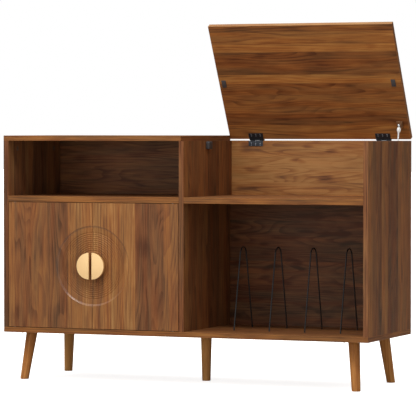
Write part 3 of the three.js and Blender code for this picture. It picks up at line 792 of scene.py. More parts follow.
def leg_wood(node, axis):
    """Turned beech stained like walnut: streaks along the leg, from a place turned upright."""
    material, tree = new_material(node + " wood")
    place = add(tree, "ShaderNodeTexCoord", {}, {}).outputs["Object"]
    upright = tuple(axis.rotation_difference(Vector((0, 0, 1))).to_euler())
    turned = add(
        tree, "ShaderNodeMapping", {}, {"Vector": place, "Rotation": upright, "Scale": (1 / MM,) * 3}
    ).outputs[0]
    parts = add(tree, "ShaderNodeSeparateXYZ", {}, {0: turned}).outputs
    across = add(
        tree, "ShaderNodeMath", {"operation": "MULTIPLY_ADD"}, {0: parts[1], 1: GRAIN_SLANT, 2: parts[0]}
    ).outputs[0]
    spot = add(tree, "ShaderNodeCombineXYZ", {}, {0: across, 1: parts[2]}).outputs[0]
    tone = LEG_TONE_PAINTED_FOR_LIGHT.get(node, USUAL_LEG_TONE)
    traits = {"Place": spot, "Tone": tone, "Slice": LEG_SLICE, "Arch": LEG_ARCH}
    laminate(tree, traits, LEG_SHADES, LEG_TINT, LEG_ROUGHNESS, warmth=1.0)
    return material


# The legs that are painted paler against the shade they stand in
print("legs of paler wood:", [node for node, tone in LEG_TONE_PAINTED_FOR_LIGHT.items() if tone > USUAL_LEG_TONE])

# %% [markdown]
# ## Boards with banded edges
#
# A faced board is cut, then a thin band is glued on each edge and its corners are broken by a light
# pass of a scraper. So each board here is a copy of its solid with the loose triangles welded, the outer
# corners beveled by half a millimetre, and the faces and the edges given different prints: on an
# edge the grain always runs along the edge. The lid is turned shut for this work and open again after.

# %% Tools for the boards
ARRIS = 0.5 * MM
# Points and planes that lie nearer to each other than this count as one
WELD = 0.01 * MM
# A face looks along an axis when its normal reaches this far along it
FACING = 0.9

to_hinge, from_hinge = Matrix.Translation(-hinge_line), Matrix.Translation(hinge_line)
lid_shut = from_hinge @ Matrix.Rotation(lid_angle, 4, "X") @ to_hinge
lid_open = lid_shut.inverted()


def new_piece(name, mesh, body, nodes=()):
    """Links a finished mesh as a piece that rides on a body, and hides the nodes it stands for."""
    piece = bpy.data.objects.new(name, mesh)
    scene.collection.objects.link(piece)
    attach(piece, body)
    if nodes:
        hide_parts(*nodes)
    return piece


def mesh_of(shape, name, *materials):
    """A bmesh as a plain mesh with its materials."""
    mesh = bpy.data.meshes.new(name)
    shape.to_mesh(mesh)
    shape.free()
    for material in materials:
        mesh.materials.append(material)
    return mesh


def welded_copy(node):
    """A node's solid with its triangles welded and its flat faces made whole."""
    shape = bmesh.new()
    shape.from_mesh(frame["nodes"][node].data)
    bmesh.ops.remove_doubles(shape, verts=shape.verts, dist=WELD)
    bmesh.ops.dissolve_limit(shape, angle_limit=math.radians(0.5), verts=shape.verts, edges=shape.edges)
    return shape


def round_off(shape, edges, radius, segments=2):
    """Rounds the given edges."""
    bmesh.ops.bevel(shape, geom=edges, offset=radius, segments=segments, profile=0.5, affect="EDGES")


def outer_edges(shape, low, high):
    """The edges that lie on two outer planes of a box."""
    found = []
    for edge in shape.edges:
        a, b = edge.verts[0].co, edge.verts[1].co
        planes = 0
        for i in range(3):
            for plane in (low[i], high[i]):
                planes += abs(a[i] - plane) < WELD and abs(b[i] - plane) < WELD
        if planes >= 2:
            found.append(edge)
    return found


def paint_board(shape, thin):
    """Face slot 0 on the two broad faces, and on each edge the slot of the direction it runs in."""
    lengths = [axis for axis in range(3) if axis != thin]
    for face in shape.faces:
        face.normal_update()
        n = face.normal
        if abs(n[thin]) > FACING:
            face.material_index = 0
            continue
        facing = max(lengths, key=lambda axis: abs(n[axis]))
        runs = lengths[0] if facing == lengths[1] else lengths[1]
        face.material_index = 1 + lengths.index(runs)


def banded_board(node, body, face, edge_bands, is_lid=False):
    """A board with broken corners, its face print and its edge bands."""
    shape = welded_copy(node)
    if is_lid:
        bmesh.ops.transform(shape, matrix=lid_shut, verts=shape.verts)
    low = Vector([min(v.co[i] for v in shape.verts) for i in range(3)])
    high = Vector([max(v.co[i] for v in shape.verts) for i in range(3)])
    size = high - low
    thin = min(range(3), key=lambda axis: size[axis])
    round_off(shape, outer_edges(shape, low, high), ARRIS)
    paint_board(shape, thin)
    if is_lid:
        bmesh.ops.transform(shape, matrix=lid_open, verts=shape.verts)
    prints = [face] + [edge_bands["XYZ"[axis]] for axis in range(3) if axis != thin]
    return new_piece(node + "_board", mesh_of(shape, node + "_dressed", *prints), body, [node])


print(f"corners broken by {ARRIS / MM:.1f} mm")

# %% Make the boards
OWN_BANDS = {"left_side_panel": dark_bands, "centre_divider": divider_bands}
for node in (
    "bottom_panel",
    "left_side_panel",
    "right_side_panel",
    "centre_divider",
    "top_panel",
    "left_shelf",
    "turntable_shelf",
    "rear_hinge_rail",
):
    banded_board(node, "carcass", faces[node], OWN_BANDS.get(node, bands))
banded_board("lid", "lid_body", faces["lid"], lid_bands, is_lid=True)

# %% [markdown]
# ## Back boards
#
# The backs are thin hardboard with the walnut print on the inner side only. From behind one sees the
# plain brown board.

# %% Make the back boards
for node in ("left_back_panel", "right_back_panel"):
    shape = welded_copy(node)
    for face in shape.faces:
        face.normal_update()
        face.material_index = 0 if face.normal.y < -FACING else 1
    mesh = mesh_of(shape, node + "_dressed", faces[node], hardboard)
    new_piece(node + "_hardboard", mesh, "carcass", [node])
print("back boards dressed")

# %% [markdown]
# ## Shapes, made one by one
#
# Most of the ironwork is one of three shapes: an outline pushed along a line, a profile turned on an
# axis, or a solid with its sharp edges broken. Each gets one small function that works on a bmesh. Others
# turn a bmesh into a smooth shaded mesh, join several into one, and carve one shape out of another.

# %% Prisms, turned shapes and broken edges
SHARP = math.radians(35)


def prism(outline, push):
    """A closed solid: a flat outline pushed along a vector."""
    shape = bmesh.new()
    front = shape.faces.new([shape.verts.new(point) for point in outline])
    pushed = bmesh.ops.extrude_face_region(shape, geom=[front])
    moved = [v for v in pushed["geom"] if isinstance(v, bmesh.types.BMVert)]
    bmesh.ops.translate(shape, vec=push, verts=moved)
    bmesh.ops.recalc_face_normals(shape, faces=shape.faces)
    return shape


def circle(radius, sides):
    """(x, y) points round a circle."""
    turns = [2 * math.pi * i / sides for i in range(sides)]
    return [(radius * math.cos(t), radius * math.sin(t)) for t in turns]


def turned_shape(profile, sides, ring=False):
    """A solid turned on the Y axis from (radius, depth) pairs. A ring's profile closes on itself."""
    shape = bmesh.new()
    loops = []
    for radius, depth in profile:
        if radius == 0:
            loops.append([shape.verts.new((0, depth, 0))] * sides)
        else:
            loops.append([shape.verts.new((x, depth, z)) for x, z in circle(radius, sides)])
    pairs = list(zip(loops, loops[1:]))
    if ring:
        pairs.append((loops[-1], loops[0]))
    for inner, outer in pairs:
        for i in range(sides):
            j = (i + 1) % sides
            corners = []
            for corner in (inner[i], inner[j], outer[j], outer[i]):
                if corner not in corners:
                    corners.append(corner)
            if len(corners) > 2:
                shape.faces.new(corners)
    bmesh.ops.recalc_face_normals(shape, faces=shape.faces)
    return shape


def break_edges(shape, radius, segments=2):
    """Rounds every edge that is sharp."""
    sharp = [e for e in shape.edges if e.is_manifold and e.calc_face_angle() > SHARP]
    round_off(shape, sharp, radius, segments)


print("sharp means more than", round(math.degrees(SHARP)), "degrees")


# %% Smooth meshes, joined and carved ones
def smoothed(mesh, sharp=SHARP):
    """Smooth shading that stops at sharp edges."""
    for polygon in mesh.polygons:
        polygon.use_smooth = True
    mesh.set_sharp_from_angle(angle=sharp)
    return mesh


def smooth_mesh(shape, name, *materials):
    """A bmesh as a smooth shaded mesh."""
    return smoothed(mesh_of(shape, name, *materials))


def smooth_piece(name, shape, finish, body, nodes=()):
    """A bmesh as a piece of its own in one finish."""
    return new_piece(name, smooth_mesh(shape, name, finish), body, nodes)


def merged(shapes):
    """Several bmeshes as one."""
    whole = bmesh.new()
    for shape in shapes:
        part = mesh_of(shape, "part")
        whole.from_mesh(part)
        bpy.data.meshes.remove(part)
    return whole


def applied(piece, name):
    """The evaluated object as one plain mesh."""
    graph = bpy.context.evaluated_depsgraph_get()
    mesh = bpy.data.meshes.new_from_object(piece.evaluated_get(graph))
    mesh.name = name
    return mesh


def carved(mesh, *cutters):
    """The mesh with each cutter's shape taken out of it, exactly."""
    blank = bpy.data.objects.new("blank", mesh)
    scene.collection.objects.link(blank)
    tools = []
    for shape in cutters:
        tool = bpy.data.objects.new("cutter", smooth_mesh(shape, "cutter"))
        scene.collection.objects.link(tool)
        tools.append(tool)
        cut = blank.modifiers.new("carve", "BOOLEAN")
        cut.operation = "DIFFERENCE"
        cut.solver = "EXACT"
        cut.object = tool
    result = applied(blank, mesh.name + "_carved")
    for thing in [blank, *tools]:
        bpy.data.objects.remove(thing)
    return result


print("shape tools ready")

# %% [markdown]
# ## The carved doors
#
# A router on a turning arm cuts a shallow round field over both doors at once, with a sloping rim, and
# then fine rings in its floor. The same is done here: a turned cutter with the profile of the rim and
# of the rings is subtracted from both doors, so the rings meet at the seam. A second cutter bores the
# holes for the pivot pins and for the screws of the pulls. At the seam each door's band is a little
# thicker, so that the line between the doors is as fine as on the real pair. The film that covers the
# door is stretched over the rim, so it is glossier there and catches a bright arc of light.

# %% The cutter of the round field
FIELD_RADIUS = 124 * MM
FIELD_DEPTH = 3.8 * MM
RIM_SLOPE = 5.8 * MM
RIM_FOOT = FIELD_RADIUS - RIM_SLOPE
# Shares of the rim's width and depth: a straight slope with a small round at its top and foot
RIM_SHARES = ((0.0, 1.0), (0.08, 0.985), (0.18, 0.92), (0.82, 0.16), (0.92, 0.04), (1.0, 0.0))
RING_FIRST = 44 * MM
RING_PITCH = 6.1 * MM
RING_COUNT = 10
RING_DEPTH = 1.5 * MM
RING_STEPS = 8
CUTTER_SIDES = 256
CUTTER_PROUD = 5 * MM


def field_profile():
    """(radius, depth) pairs of the round field, from the middle out, depth counted into the door."""
    points = [(0.0, FIELD_DEPTH), (RING_FIRST, FIELD_DEPTH)]
    for i in range(1, RING_COUNT * RING_STEPS + 1):
        turn = 2 * math.pi * i / RING_STEPS
        deeper = RING_DEPTH * (1 - math.cos(turn)) / 2
        points.append((RING_FIRST + RING_PITCH * i / RING_STEPS, FIELD_DEPTH + deeper))
    for run, depth in RIM_SHARES:
        points.append((RIM_FOOT + RIM_SLOPE * run, FIELD_DEPTH * depth))
    points.append((FIELD_RADIUS, -CUTTER_PROUD))
    points.append((0.0, -CUTTER_PROUD))
    return points


print("points in the field's profile:", len(field_profile()))

# %% The cutters of the holes
HOLE_SIDES = 24
HOLE_ROOM = 0.3 * MM


def hole_cutter(node):
    """A round cutter that clears a pin or a screw's shaft, along the node's longest side."""
    low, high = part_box(node)
    size = high - low
    middle = (low + high) / 2
    axis = max(range(3), key=lambda i: size[i])
    points = [v.co for v in frame["nodes"][node].data.vertices]
    ends = [[p - middle for p in points if abs(p[axis] - end[axis]) < WELD] for end in (low, high)]
    radius = min(max(p[i] for p in ring) for ring in ends for i in range(3) if i != axis)
    wide = radius + HOLE_ROOM
    shape = turned_shape([(0, 0), (wide, 0), (wide, 1), (0, 1)], HOLE_SIDES)
    turn = Vector((0, 1, 0)).rotation_difference(Vector([float(i == axis) for i in range(3)]))
    stretch = Matrix.Diagonal((1, size[axis] + 2 * HOLE_ROOM, 1, 1))
    start = middle.copy()
    start[axis] = low[axis] - HOLE_ROOM
    place = Matrix.Translation(start) @ turn.to_matrix().to_4x4() @ stretch
    bmesh.ops.transform(shape, matrix=place, verts=shape.verts)
    return shape


def box_shape(low, high):
    """A bmesh box between two corners."""
    shape = bmesh.new()
    bmesh.ops.create_cube(shape, size=1)
    middle, size = (low + high) / 2, high - low
    bmesh.ops.scale(shape, vec=size, verts=shape.verts)
    bmesh.ops.translate(shape, vec=middle, verts=shape.verts)
    return shape


print(f"holes are {2 * HOLE_ROOM / MM:.1f} mm wider than what goes through them")

# %% Carve the doors
SEAM_BAND = 0.4 * MM
# A door is thin along Y, and the print of its rim is its fourth material
DEPTH_AXIS = 1
RIM_SLOT = 3
BORED_FOR = ("door_pin_lower", "door_pin_upper", "pull_screw_lower", "pull_screw_upper")
field_middle = Vector((seam_x, front_y, door_middle_z))

for word, side in SIDES:
    low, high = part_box(word + "_door")
    if side < 0:
        high.x += SEAM_BAND
    else:
        low.x -= SEAM_BAND
    blank = box_shape(low, high)
    round_off(blank, outer_edges(blank, low, high), ARRIS)
    paint_board(blank, DEPTH_AXIS)
    prints = (faces["doors"], bands["X"], bands["Z"], faces["door_rim"])
    field = turned_shape(field_profile(), CUTTER_SIDES)
    bmesh.ops.translate(field, vec=field_middle, verts=field.verts)
    holes = merged([hole_cutter(f"{word}_{part}") for part in BORED_FOR])
    mesh = carved(mesh_of(blank, word + "_door_front", *prints), field, holes)
    for polygon in mesh.polygons:
        across, deep, up = polygon.center - field_middle
        if RIM_FOOT < math.hypot(across, up) < FIELD_RADIUS and deep < FIELD_DEPTH - WELD:
            polygon.material_index = RIM_SLOT
    new_piece(word + "_door_front", mesh, word + "_door_body", [word + "_door"])
    print(word, "door faces:", len(mesh.polygons))

# %% [markdown]
# ## Half-round pulls
#
# Each pull is a thick plate, ground flat, with its edge broken all round. It stands on two short bosses,
# which leave room for the fingertips. The plate is a half disc pushed back, and the bosses are turned.
# Its side walls are drawn in a darker gold, a painted shade.

# %% Make the pulls
PULL_SIDES = 48
PULL_EDGE = 0.6 * MM
PULL_THICKNESS = 10 * MM
BOSS_RADIUS = 5 * MM
BOSS_IN_PLATE = 2 * MM
BOSS_SHORT = 0.4 * MM
# A face gets the bright gold when it looks to the front by more than this, the others the painted shade
FRONT_LOOK = 0.5


def pull_plate(word, side):
    """The half disc of a pull with its two bosses."""
    low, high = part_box(word + "_pull")
    flat_x = high.x if side < 0 else low.x
    radius = (high.z - low.z) / 2
    outline = []
    for i in range(PULL_SIDES + 1):
        turn = math.pi * i / PULL_SIDES - math.pi / 2
        out, up = side * radius * math.cos(turn), radius * math.sin(turn)
        outline.append(Vector((flat_x + out, low.y, door_middle_z + up)))
    plate = prism(outline, Vector((0, PULL_THICKNESS, 0)))
    rims = [e for e in plate.edges if abs(e.verts[0].co.y - e.verts[1].co.y) < WELD]
    round_off(plate, rims, PULL_EDGE, 3)
    shapes = [plate]
    start = low.y + PULL_THICKNESS - BOSS_IN_PLATE
    end = front_y + FIELD_DEPTH - BOSS_SHORT
    for place in ("lower", "upper"):
        screw_low, screw_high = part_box(f"{word}_pull_screw_{place}")
        middle = (screw_low + screw_high) / 2
        boss = turned_shape([(0, start), (BOSS_RADIUS, start), (BOSS_RADIUS, end), (0, end)], HOLE_SIDES)
        bmesh.ops.translate(boss, vec=(middle.x, 0, middle.z), verts=boss.verts)
        shapes.append(boss)
    mesh = smooth_mesh(merged(shapes), word + "_pull_plate", pale_gold, gold_wall_shade)
    for polygon in mesh.polygons:
        polygon.material_index = 0 if polygon.normal.y < -FRONT_LOOK else 1
    return mesh


for word, side in SIDES:
    mesh = pull_plate(word, side)
    new_piece(word + "_pull_plate", mesh, word + "_door_body", [word + "_pull"])
    print(word, "pull faces:", len(mesh.polygons))

# %% [markdown]
# ## Turned legs
#
# A leg is a cone on a leaning axis, but its foot and its top are cut level. So each ring of points is
# found by walking along the straight lines of the cone to a level height. The foot's corner is rounded
# by a few rings drawn in a little.

# %% Make the legs
LEG_SIDES = 64
LEG_LEVELS = 12
LEG_SHARP = math.radians(50)
FOOT_ROUND = 1.2 * MM
FOOT_STEPS = 5


def leg_ends(node):
    """The middle and the radius of a leg's foot and of its top."""
    points = [v.co for v in frame["nodes"][node].data.vertices]
    ends = []
    for level in (0, max(p.z for p in points)):
        ring = [p for p in points if abs(p.z - level) < WELD]
        low = Vector((min(p.x for p in ring), min(p.y for p in ring), level))
        high = Vector((max(p.x for p in ring), max(p.y for p in ring), level))
        ends.append(((low + high) / 2, (high - low).y / 2))
    return ends


def leg_mesh(node):
    """A leg as level rings from foot to top."""
    (foot, foot_radius), (top, top_radius) = leg_ends(node)
    height = top.z - foot.z
    levels = []
    for i in range(FOOT_STEPS + 1):
        turn = math.pi / 2 * i / FOOT_STEPS
        levels.append((FOOT_ROUND * (1 - math.cos(turn)), FOOT_ROUND * (1 - math.sin(turn))))
    for i in range(1, LEG_LEVELS + 1):
        levels.append((FOOT_ROUND + (height - FOOT_ROUND) * i / LEG_LEVELS, 0.0))
    shape = bmesh.new()
    rings = []
    for z, inset in levels:
        share = z / height
        middle = foot.lerp(top, share)
        radius = foot_radius + (top_radius - foot_radius) * share - inset
        rings.append([shape.verts.new(middle + Vector((x, y, 0))) for x, y in circle(radius, LEG_SIDES)])
    for lower, upper in zip(rings, rings[1:]):
        for i in range(LEG_SIDES):
            j = (i + 1) % LEG_SIDES
            shape.faces.new((lower[i], lower[j], upper[j], upper[i]))
    shape.faces.new(rings[0][::-1])
    shape.faces.new(rings[-1])
    bmesh.ops.recalc_face_normals(shape, faces=shape.faces)
    wood = leg_wood(node, (top - foot).normalized())
    return smoothed(mesh_of(shape, node + "_turned", wood), LEG_SHARP)


for node in ("leg_front_left", "leg_front_right", "leg_back_left", "leg_back_right", "leg_centre"):
    new_piece(node + "_turned", leg_mesh(node), "carcass", [node])
print("legs turned")

# %% [markdown]
# ## Screws by Geometry Nodes
#
# Small screws of a few sizes hold the ironwork. One head is modelled, with the cross that a driver
# needs, and a Geometry Nodes tree sets a copy of it on every given point. Each point carries the way
# that its screw goes in and the screw's radius. A random turn with a fixed seed spins each head, because
# no one lines up the crosses of a row of screws.

# %% A screw's head and a cap
HEAD_SIDES = 28
HEAD_HEIGHT = 0.44
CROSS_REACH = 0.62
CROSS_HALF = 0.13
CROSS_DEPTH = 0.34


def screw_head(shank=0.0):
    """A head one unit in radius that goes in along +Y, with its cross and a shank half as thick."""
    profile = [(0, -HEAD_HEIGHT), (0.5, -0.42), (0.82, -0.3), (0.97, -0.1), (1, 0.0), (0.94, 0.1)]
    profile += [(0.5, 0.14), (0.5, 0.14 + shank), (0, 0.14 + shank)] if shank else [(0, 0.1)]
    a, b = CROSS_HALF, CROSS_REACH
    quarter = [(-a, -b), (a, -b), (a, -a)]
    corners = []
    for _ in range(4):
        corners += quarter
        quarter = [(-z, x) for x, z in quarter]
    cross = prism([Vector((x, -1, z)) for x, z in corners], Vector((0, 1 - HEAD_HEIGHT + CROSS_DEPTH, 0)))
    return carved(smooth_mesh(turned_shape(profile, HEAD_SIDES), "screw"), cross)


def cap_head():
    """A flat plastic cap one unit in radius that goes in along +Y."""
    profile = [(0, -0.06), (0.86, -0.06), (0.97, -0.03), (1, 0.02), (1, 0.08), (0, 0.08)]
    return smooth_mesh(turned_shape(profile, HEAD_SIDES), "cap")


plain_screw = screw_head()
print("screw head faces:", len(plain_screw.polygons))


# %% Copies on points
def copies_tree():
    """A tree that sets a turned copy of an object on every point and gives it a finish."""
    inputs = {"Points": "Geometry", "Copy": "Object", "Finish": "Material", "Turn seed": "Int"}
    tree, given = new_group("copies on points", "GeometryNodeTree", inputs, {"Geometry": "Geometry"})
    model = add(tree, "GeometryNodeObjectInfo", {}, {"Object": given["Copy"]}).outputs["Geometry"]
    inward = add(
        tree, "GeometryNodeInputNamedAttribute", {"data_type": "FLOAT_VECTOR"}, {"Name": "inward"}
    ).outputs[0]
    radius = add(
        tree, "GeometryNodeInputNamedAttribute", {"data_type": "FLOAT"}, {"Name": "radius"}
    ).outputs[0]
    turn = add(
        tree,
        "FunctionNodeRandomValue",
        {"data_type": "FLOAT"},
        {2: 0.0, 3: math.tau, "Seed": given["Turn seed"]},
    ).outputs[1]
    spin = add(tree, "FunctionNodeAxisAngleToRotation", {}, {"Axis": (0, 1, 0), "Angle": turn}).outputs[0]
    aim = add(tree, "FunctionNodeAlignRotationToVector", {"axis": "Y"}, {"Vector": inward}).outputs[0]
    turned = add(
        tree, "FunctionNodeRotateRotation", {"rotation_space": "LOCAL"}, {"Rotation": aim, "Rotate By": spin}
    ).outputs[0]
    placed = add(
        tree,
        "GeometryNodeInstanceOnPoints",
        {},
        {"Points": given["Points"], "Instance": model, "Rotation": turned, "Scale": radius},
    ).outputs[0]
    real = add(tree, "GeometryNodeRealizeInstances", {}, {"Geometry": placed}).outputs[0]
    painted = add(
        tree, "GeometryNodeSetMaterial", {}, {"Geometry": real, "Material": given["Finish"]}
    ).outputs[0]
    add(tree, "NodeGroupOutput", {}, {0: painted})
    return tree


def grown(name, mesh, tree, inputs):
    """Runs a Geometry Nodes tree on a mesh, and returns the result as one plain, smooth mesh."""
    holder = bpy.data.objects.new(name, mesh)
    scene.collection.objects.link(holder)
    modifier = holder.modifiers.new("grow", "NODES")
    modifier.node_group = tree
    sockets = {item.name: item.identifier for item in tree.interface.items_tree if item.in_out == "INPUT"}
    for label, value in inputs.items():
        modifier[sockets[label]] = value
    result = applied(holder, name)
    holder.modifiers.remove(modifier)
    bpy.data.objects.remove(holder)
    return smoothed(result)


def copied_piece(name, head_mesh, rows, finish, seed, body, nodes=()):
    """A piece with a copy of a head at each (place, inward direction, radius) row."""
    mesh = bpy.data.meshes.new(name + " points")
    mesh.from_pydata([place for place, _, _ in rows], [], [])
    mesh.attributes.new("inward", "FLOAT_VECTOR", "POINT")
    mesh.attributes.new("radius", "FLOAT", "POINT")
    for i, (_, direction, size) in enumerate(rows):
        mesh.attributes["inward"].data[i].vector = direction
        mesh.attributes["radius"].data[i].value = size
    head = bpy.data.objects.new(name + " head", head_mesh)
    result = grown(name, mesh, copies_group, {"Copy": head, "Finish": finish, "Turn seed": seed})
    bpy.data.objects.remove(head)
    return new_piece(name, result, body, nodes)


copies_group = copies_tree()
print("nodes that copy a head:", len(copies_group.nodes))

# %% [markdown]
# ## Lid hinges
#
# A small butt hinge is two stamped leaves. Each leaf is a strip of steel, bent once, and its tongues are
# rolled round the pin. The same steps are followed: a centre line in the YZ plane with rounded bends
# and a rolled end is given the thickness of the sheet, and the section is pushed along the hinge. The
# fixed leaf has the two outer knuckles, the moving one the middle knuckle. The moving leaf is drawn with
# the lid shut and is turned up with the lid.

# %% Bending a sheet
SHEET = 1.5 * MM
BEND = 1.6 * MM
BEND_STEPS = 5
ROLL_RADIUS = 1.75 * MM
ROLL_STEPS = 14
LEAF_CORNER = 1.6 * MM

hinge_axis = Vector((0, hinge_line.y, hinge_line.z))


def rounded_path(points, radius):
    """A path of (y, z) points with its corners rounded."""
    path = [Vector(points[0])]
    for before, corner, after in zip(points, points[1:], points[2:]):
        before, corner, after = Vector(before), Vector(corner), Vector(after)
        start = corner + (before - corner).normalized() * radius
        end = corner + (after - corner).normalized() * radius
        for i in range(BEND_STEPS + 1):
            share = i / BEND_STEPS
            path.append(start.lerp(corner, share).lerp(corner.lerp(end, share), share))
    path.append(Vector(points[-1]))
    return path


def rolled_end(first_turn, last_turn):
    """The part of a path that is rolled round the pin, in degrees seen from +X."""
    path = []
    for i in range(ROLL_STEPS + 1):
        turn = math.radians(first_turn + (last_turn - first_turn) * i / ROLL_STEPS)
        path.append(Vector((ROLL_RADIUS * math.cos(turn), ROLL_RADIUS * math.sin(turn))))
    return path


def bent_sheet(path, x_low, x_high):
    """A sheet with the path as its centre line, from one x to another, beside the hinge line."""
    left, right = [], []
    for i, point in enumerate(path):
        along = (path[min(i + 1, len(path) - 1)] - path[max(i - 1, 0)]).normalized()
        across = Vector((-along.y, along.x)) * SHEET / 2
        left.append(point + across)
        right.append(point - across)
    outline = [hinge_axis + Vector((x_low, y, z)) for y, z in left + right[::-1]]
    return prism(outline, Vector((x_high - x_low, 0, 0)))


def round_corners(shape, at_end):
    """Rounds the two free corners of a leaf: short edges through the sheet on its free end."""
    x_ends = (min(v.co.x for v in shape.verts), max(v.co.x for v in shape.verts))
    short = []
    for edge in shape.edges:
        a, b = edge.verts[0].co, edge.verts[1].co
        on_side = abs(a.x - b.x) < WELD and min(abs(a.x - x) for x in x_ends) < WELD
        if on_side and at_end(a) and at_end(b):
            short.append(edge)
    round_off(shape, short, LEAF_CORNER, 4)


print("points in a rolled end:", len(rolled_end(0, 180)))

# %% Make the hinges
KNUCKLE_GAP = 0.3 * MM
NOTCH_FLOOR = -6.8 * MM
SILL_TOP = -2.9 * MM
SEAT_GAP = 0.3 * MM
HINGE_SCREW = 2.1 * MM
SCREW_FIRST = 3.4 * MM
SCREW_PITCH = 5.4 * MM
SCREW_SPREAD = 15 * MM
# Degrees over which the fixed and the moving knuckles are rolled
FIXED_ROLL = (0, 292)
MOVING_ROLL = (180, -112)

face_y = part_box("rear_hinge_rail")[0].y - hinge_line.y
lid_points = [lid_shut @ v.co for v in frame["nodes"]["lid"].data.vertices]
lid_seat = min(p.z for p in lid_points) - SEAT_GAP - hinge_line.z
lid_back = max(p.y for p in lid_points) - hinge_line.y
lid_turn = lid_open.to_3x3()
for word, _ in SIDES:
    low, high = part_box("lid_hinge_fixed_leaf_" + word)
    middle = (low.x + high.x) / 2
    knuckle_half = (high.x - low.x) / 6
    foot_z = low.z - hinge_line.z
    strip_z = NOTCH_FLOOR + SHEET / 2
    flat_y = face_y - SHEET / 2
    fixed_path = rounded_path(
        [(flat_y, foot_z), (flat_y, strip_z), (ROLL_RADIUS, strip_z), (ROLL_RADIUS, SILL_TOP)], BEND
    )
    leaf = bent_sheet(fixed_path, low.x, high.x)
    round_corners(leaf, lambda point: point.z < low.z + WELD)
    shapes = [leaf]
    fixed_roll = [Vector((ROLL_RADIUS, SILL_TOP - WELD))] + rolled_end(*FIXED_ROLL)
    shapes.append(bent_sheet(fixed_roll, low.x, middle - knuckle_half - KNUCKLE_GAP))
    shapes.append(bent_sheet(fixed_roll, middle + knuckle_half + KNUCKLE_GAP, high.x))
    name = "fixed_leaf_" + word
    smooth_piece(name, merged(shapes), black_steel, "carcass", ["lid_hinge_" + name])

    leaf_front = lid_back - (hinge_line.z - low.z)
    plate_z = lid_seat - SHEET / 2
    plate = bent_sheet([Vector((leaf_front, plate_z)), Vector((-2 * ROLL_RADIUS, plate_z))], low.x, high.x)
    round_corners(plate, lambda point: point.y < hinge_line.y + leaf_front + WELD)
    tongue = rounded_path(
        [(-2.2 * ROLL_RADIUS, plate_z), (-ROLL_RADIUS, plate_z), (-ROLL_RADIUS, -WELD)], BEND
    )
    roll = bent_sheet(tongue + rolled_end(*MOVING_ROLL), middle - knuckle_half, middle + knuckle_half)
    moving = merged([plate, roll])
    bmesh.ops.transform(moving, matrix=lid_open, verts=moving.verts)
    name = "moving_leaf_" + word
    smooth_piece(name, moving, black_steel, "lid_body", ["lid_hinge_" + name])

    fixed_rows, lid_rows = [], []
    for dx in (-SCREW_SPREAD, 0, SCREW_SPREAD):
        for row in (0, 1):
            x, run = middle + dx, SCREW_FIRST + row * SCREW_PITCH
            place = Vector((x, hinge_line.y + face_y - SHEET, low.z + run))
            fixed_rows.append((place, Vector((0, 1, 0)), HINGE_SCREW))
            place = Vector((x, hinge_line.y + leaf_front + run, hinge_line.z + lid_seat - SHEET))
            lid_rows.append((lid_open @ place, lid_turn @ Vector((0, 0, 1)), HINGE_SCREW))
    copied_piece("fixed_leaf_screws_" + word, plain_screw, fixed_rows, dark_screw, 3, "carcass")
    copied_piece("moving_leaf_screws_" + word, plain_screw, lid_rows, dark_screw, 7, "lid_body")
print("hinges made, leaf front at", round(leaf_front / MM, 1), "mm from the pin")

# %% [markdown]
# ## The strut
#
# The strut that holds the lid is a white cylinder, a white rod and an oval end fitting with an eye. All
# are turned, so they are drawn along a line and then laid on the line from the foot stud to the lid
# stud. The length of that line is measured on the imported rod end. Here all numbers are in millimetres.

# %% The line of the strut and its eyes
EYE_RADIUS = 5.6
EYE_BORE = 3.3
EYE_HALF = 3.5
EYE_ROUND = 0.6
TURNED_SIDES = 40

strut_foot = Vector(joint["strut_swing"]["pos_m"])
strut_way = Vector(joint["strut_slide"]["axis"]).normalized()
across = Vector((1, 0, 0))
strut_place = Matrix((across, strut_way, across.cross(strut_way))).transposed().to_4x4()
strut_place.translation = strut_foot


def along_strut(node):
    """How far the points of a node lie from the foot stud, along the strut."""
    return [(v.co - strut_foot).dot(strut_way) / MM for v in frame["nodes"][node].data.vertices]


def on_strut(profile_mm):
    """A shape turned along the strut from (radius, distance from the foot eye) pairs."""
    shape = turned_shape([(r * MM, y * MM) for r, y in profile_mm], TURNED_SIDES)
    bmesh.ops.transform(shape, matrix=strut_place, verts=shape.verts)
    return shape


def strut_eye(distance_mm):
    """A ring across the strut, bored for a stud."""
    half = [
        (EYE_BORE, -EYE_HALF),
        (EYE_RADIUS - EYE_ROUND, -EYE_HALF),
        (EYE_RADIUS, EYE_ROUND - EYE_HALF),
    ]
    profile = half + [(r, -y) for r, y in half[::-1]]
    ring = turned_shape([(r * MM, y * MM) for r, y in profile], TURNED_SIDES, ring=True)
    turn = Matrix.Translation((0, distance_mm * MM, 0)) @ Matrix.Rotation(math.pi / 2, 4, "Z")
    bmesh.ops.transform(ring, matrix=strut_place @ turn, verts=ring.verts)
    return ring


reach = max(along_strut("strut_rod_end")) - EYE_RADIUS
mouth = max(along_strut("strut_cylinder"))
rod_start = min(along_strut("strut_rod"))
print(f"strut {reach:.1f} mm between its eyes, cylinder to {mouth:.1f} mm")

# %% Make the strut
TUBE_RADIUS = 6
NECK_RADIUS = 3.5
ROD_RADIUS = 2.0
STEM_RADIUS = 2.6
OVAL_RADIUS = 6.5
OVAL_HALF = 9.0
OVAL_MIDDLE = 14.0
OVAL_STEPS = 14

neck = [(0, 4), (NECK_RADIUS, 4), (NECK_RADIUS, 9.6), (4.6, 11.2), (5.6, 11.7), (TUBE_RADIUS, 12.8)]
groove = [(TUBE_RADIUS, mouth - 6), (5.6, mouth - 5.6), (5.6, mouth - 5), (TUBE_RADIUS, mouth - 4.6)]
lip = [(TUBE_RADIUS, mouth - 1), (5.2, mouth), (2.9, mouth), (2.9, mouth - 4), (0, mouth - 4)]
cylinder = merged([on_strut(neck + groove + lip), strut_eye(0)])
smooth_piece("strut_tube", cylinder, enamel, "strut_body", ["strut_cylinder"])

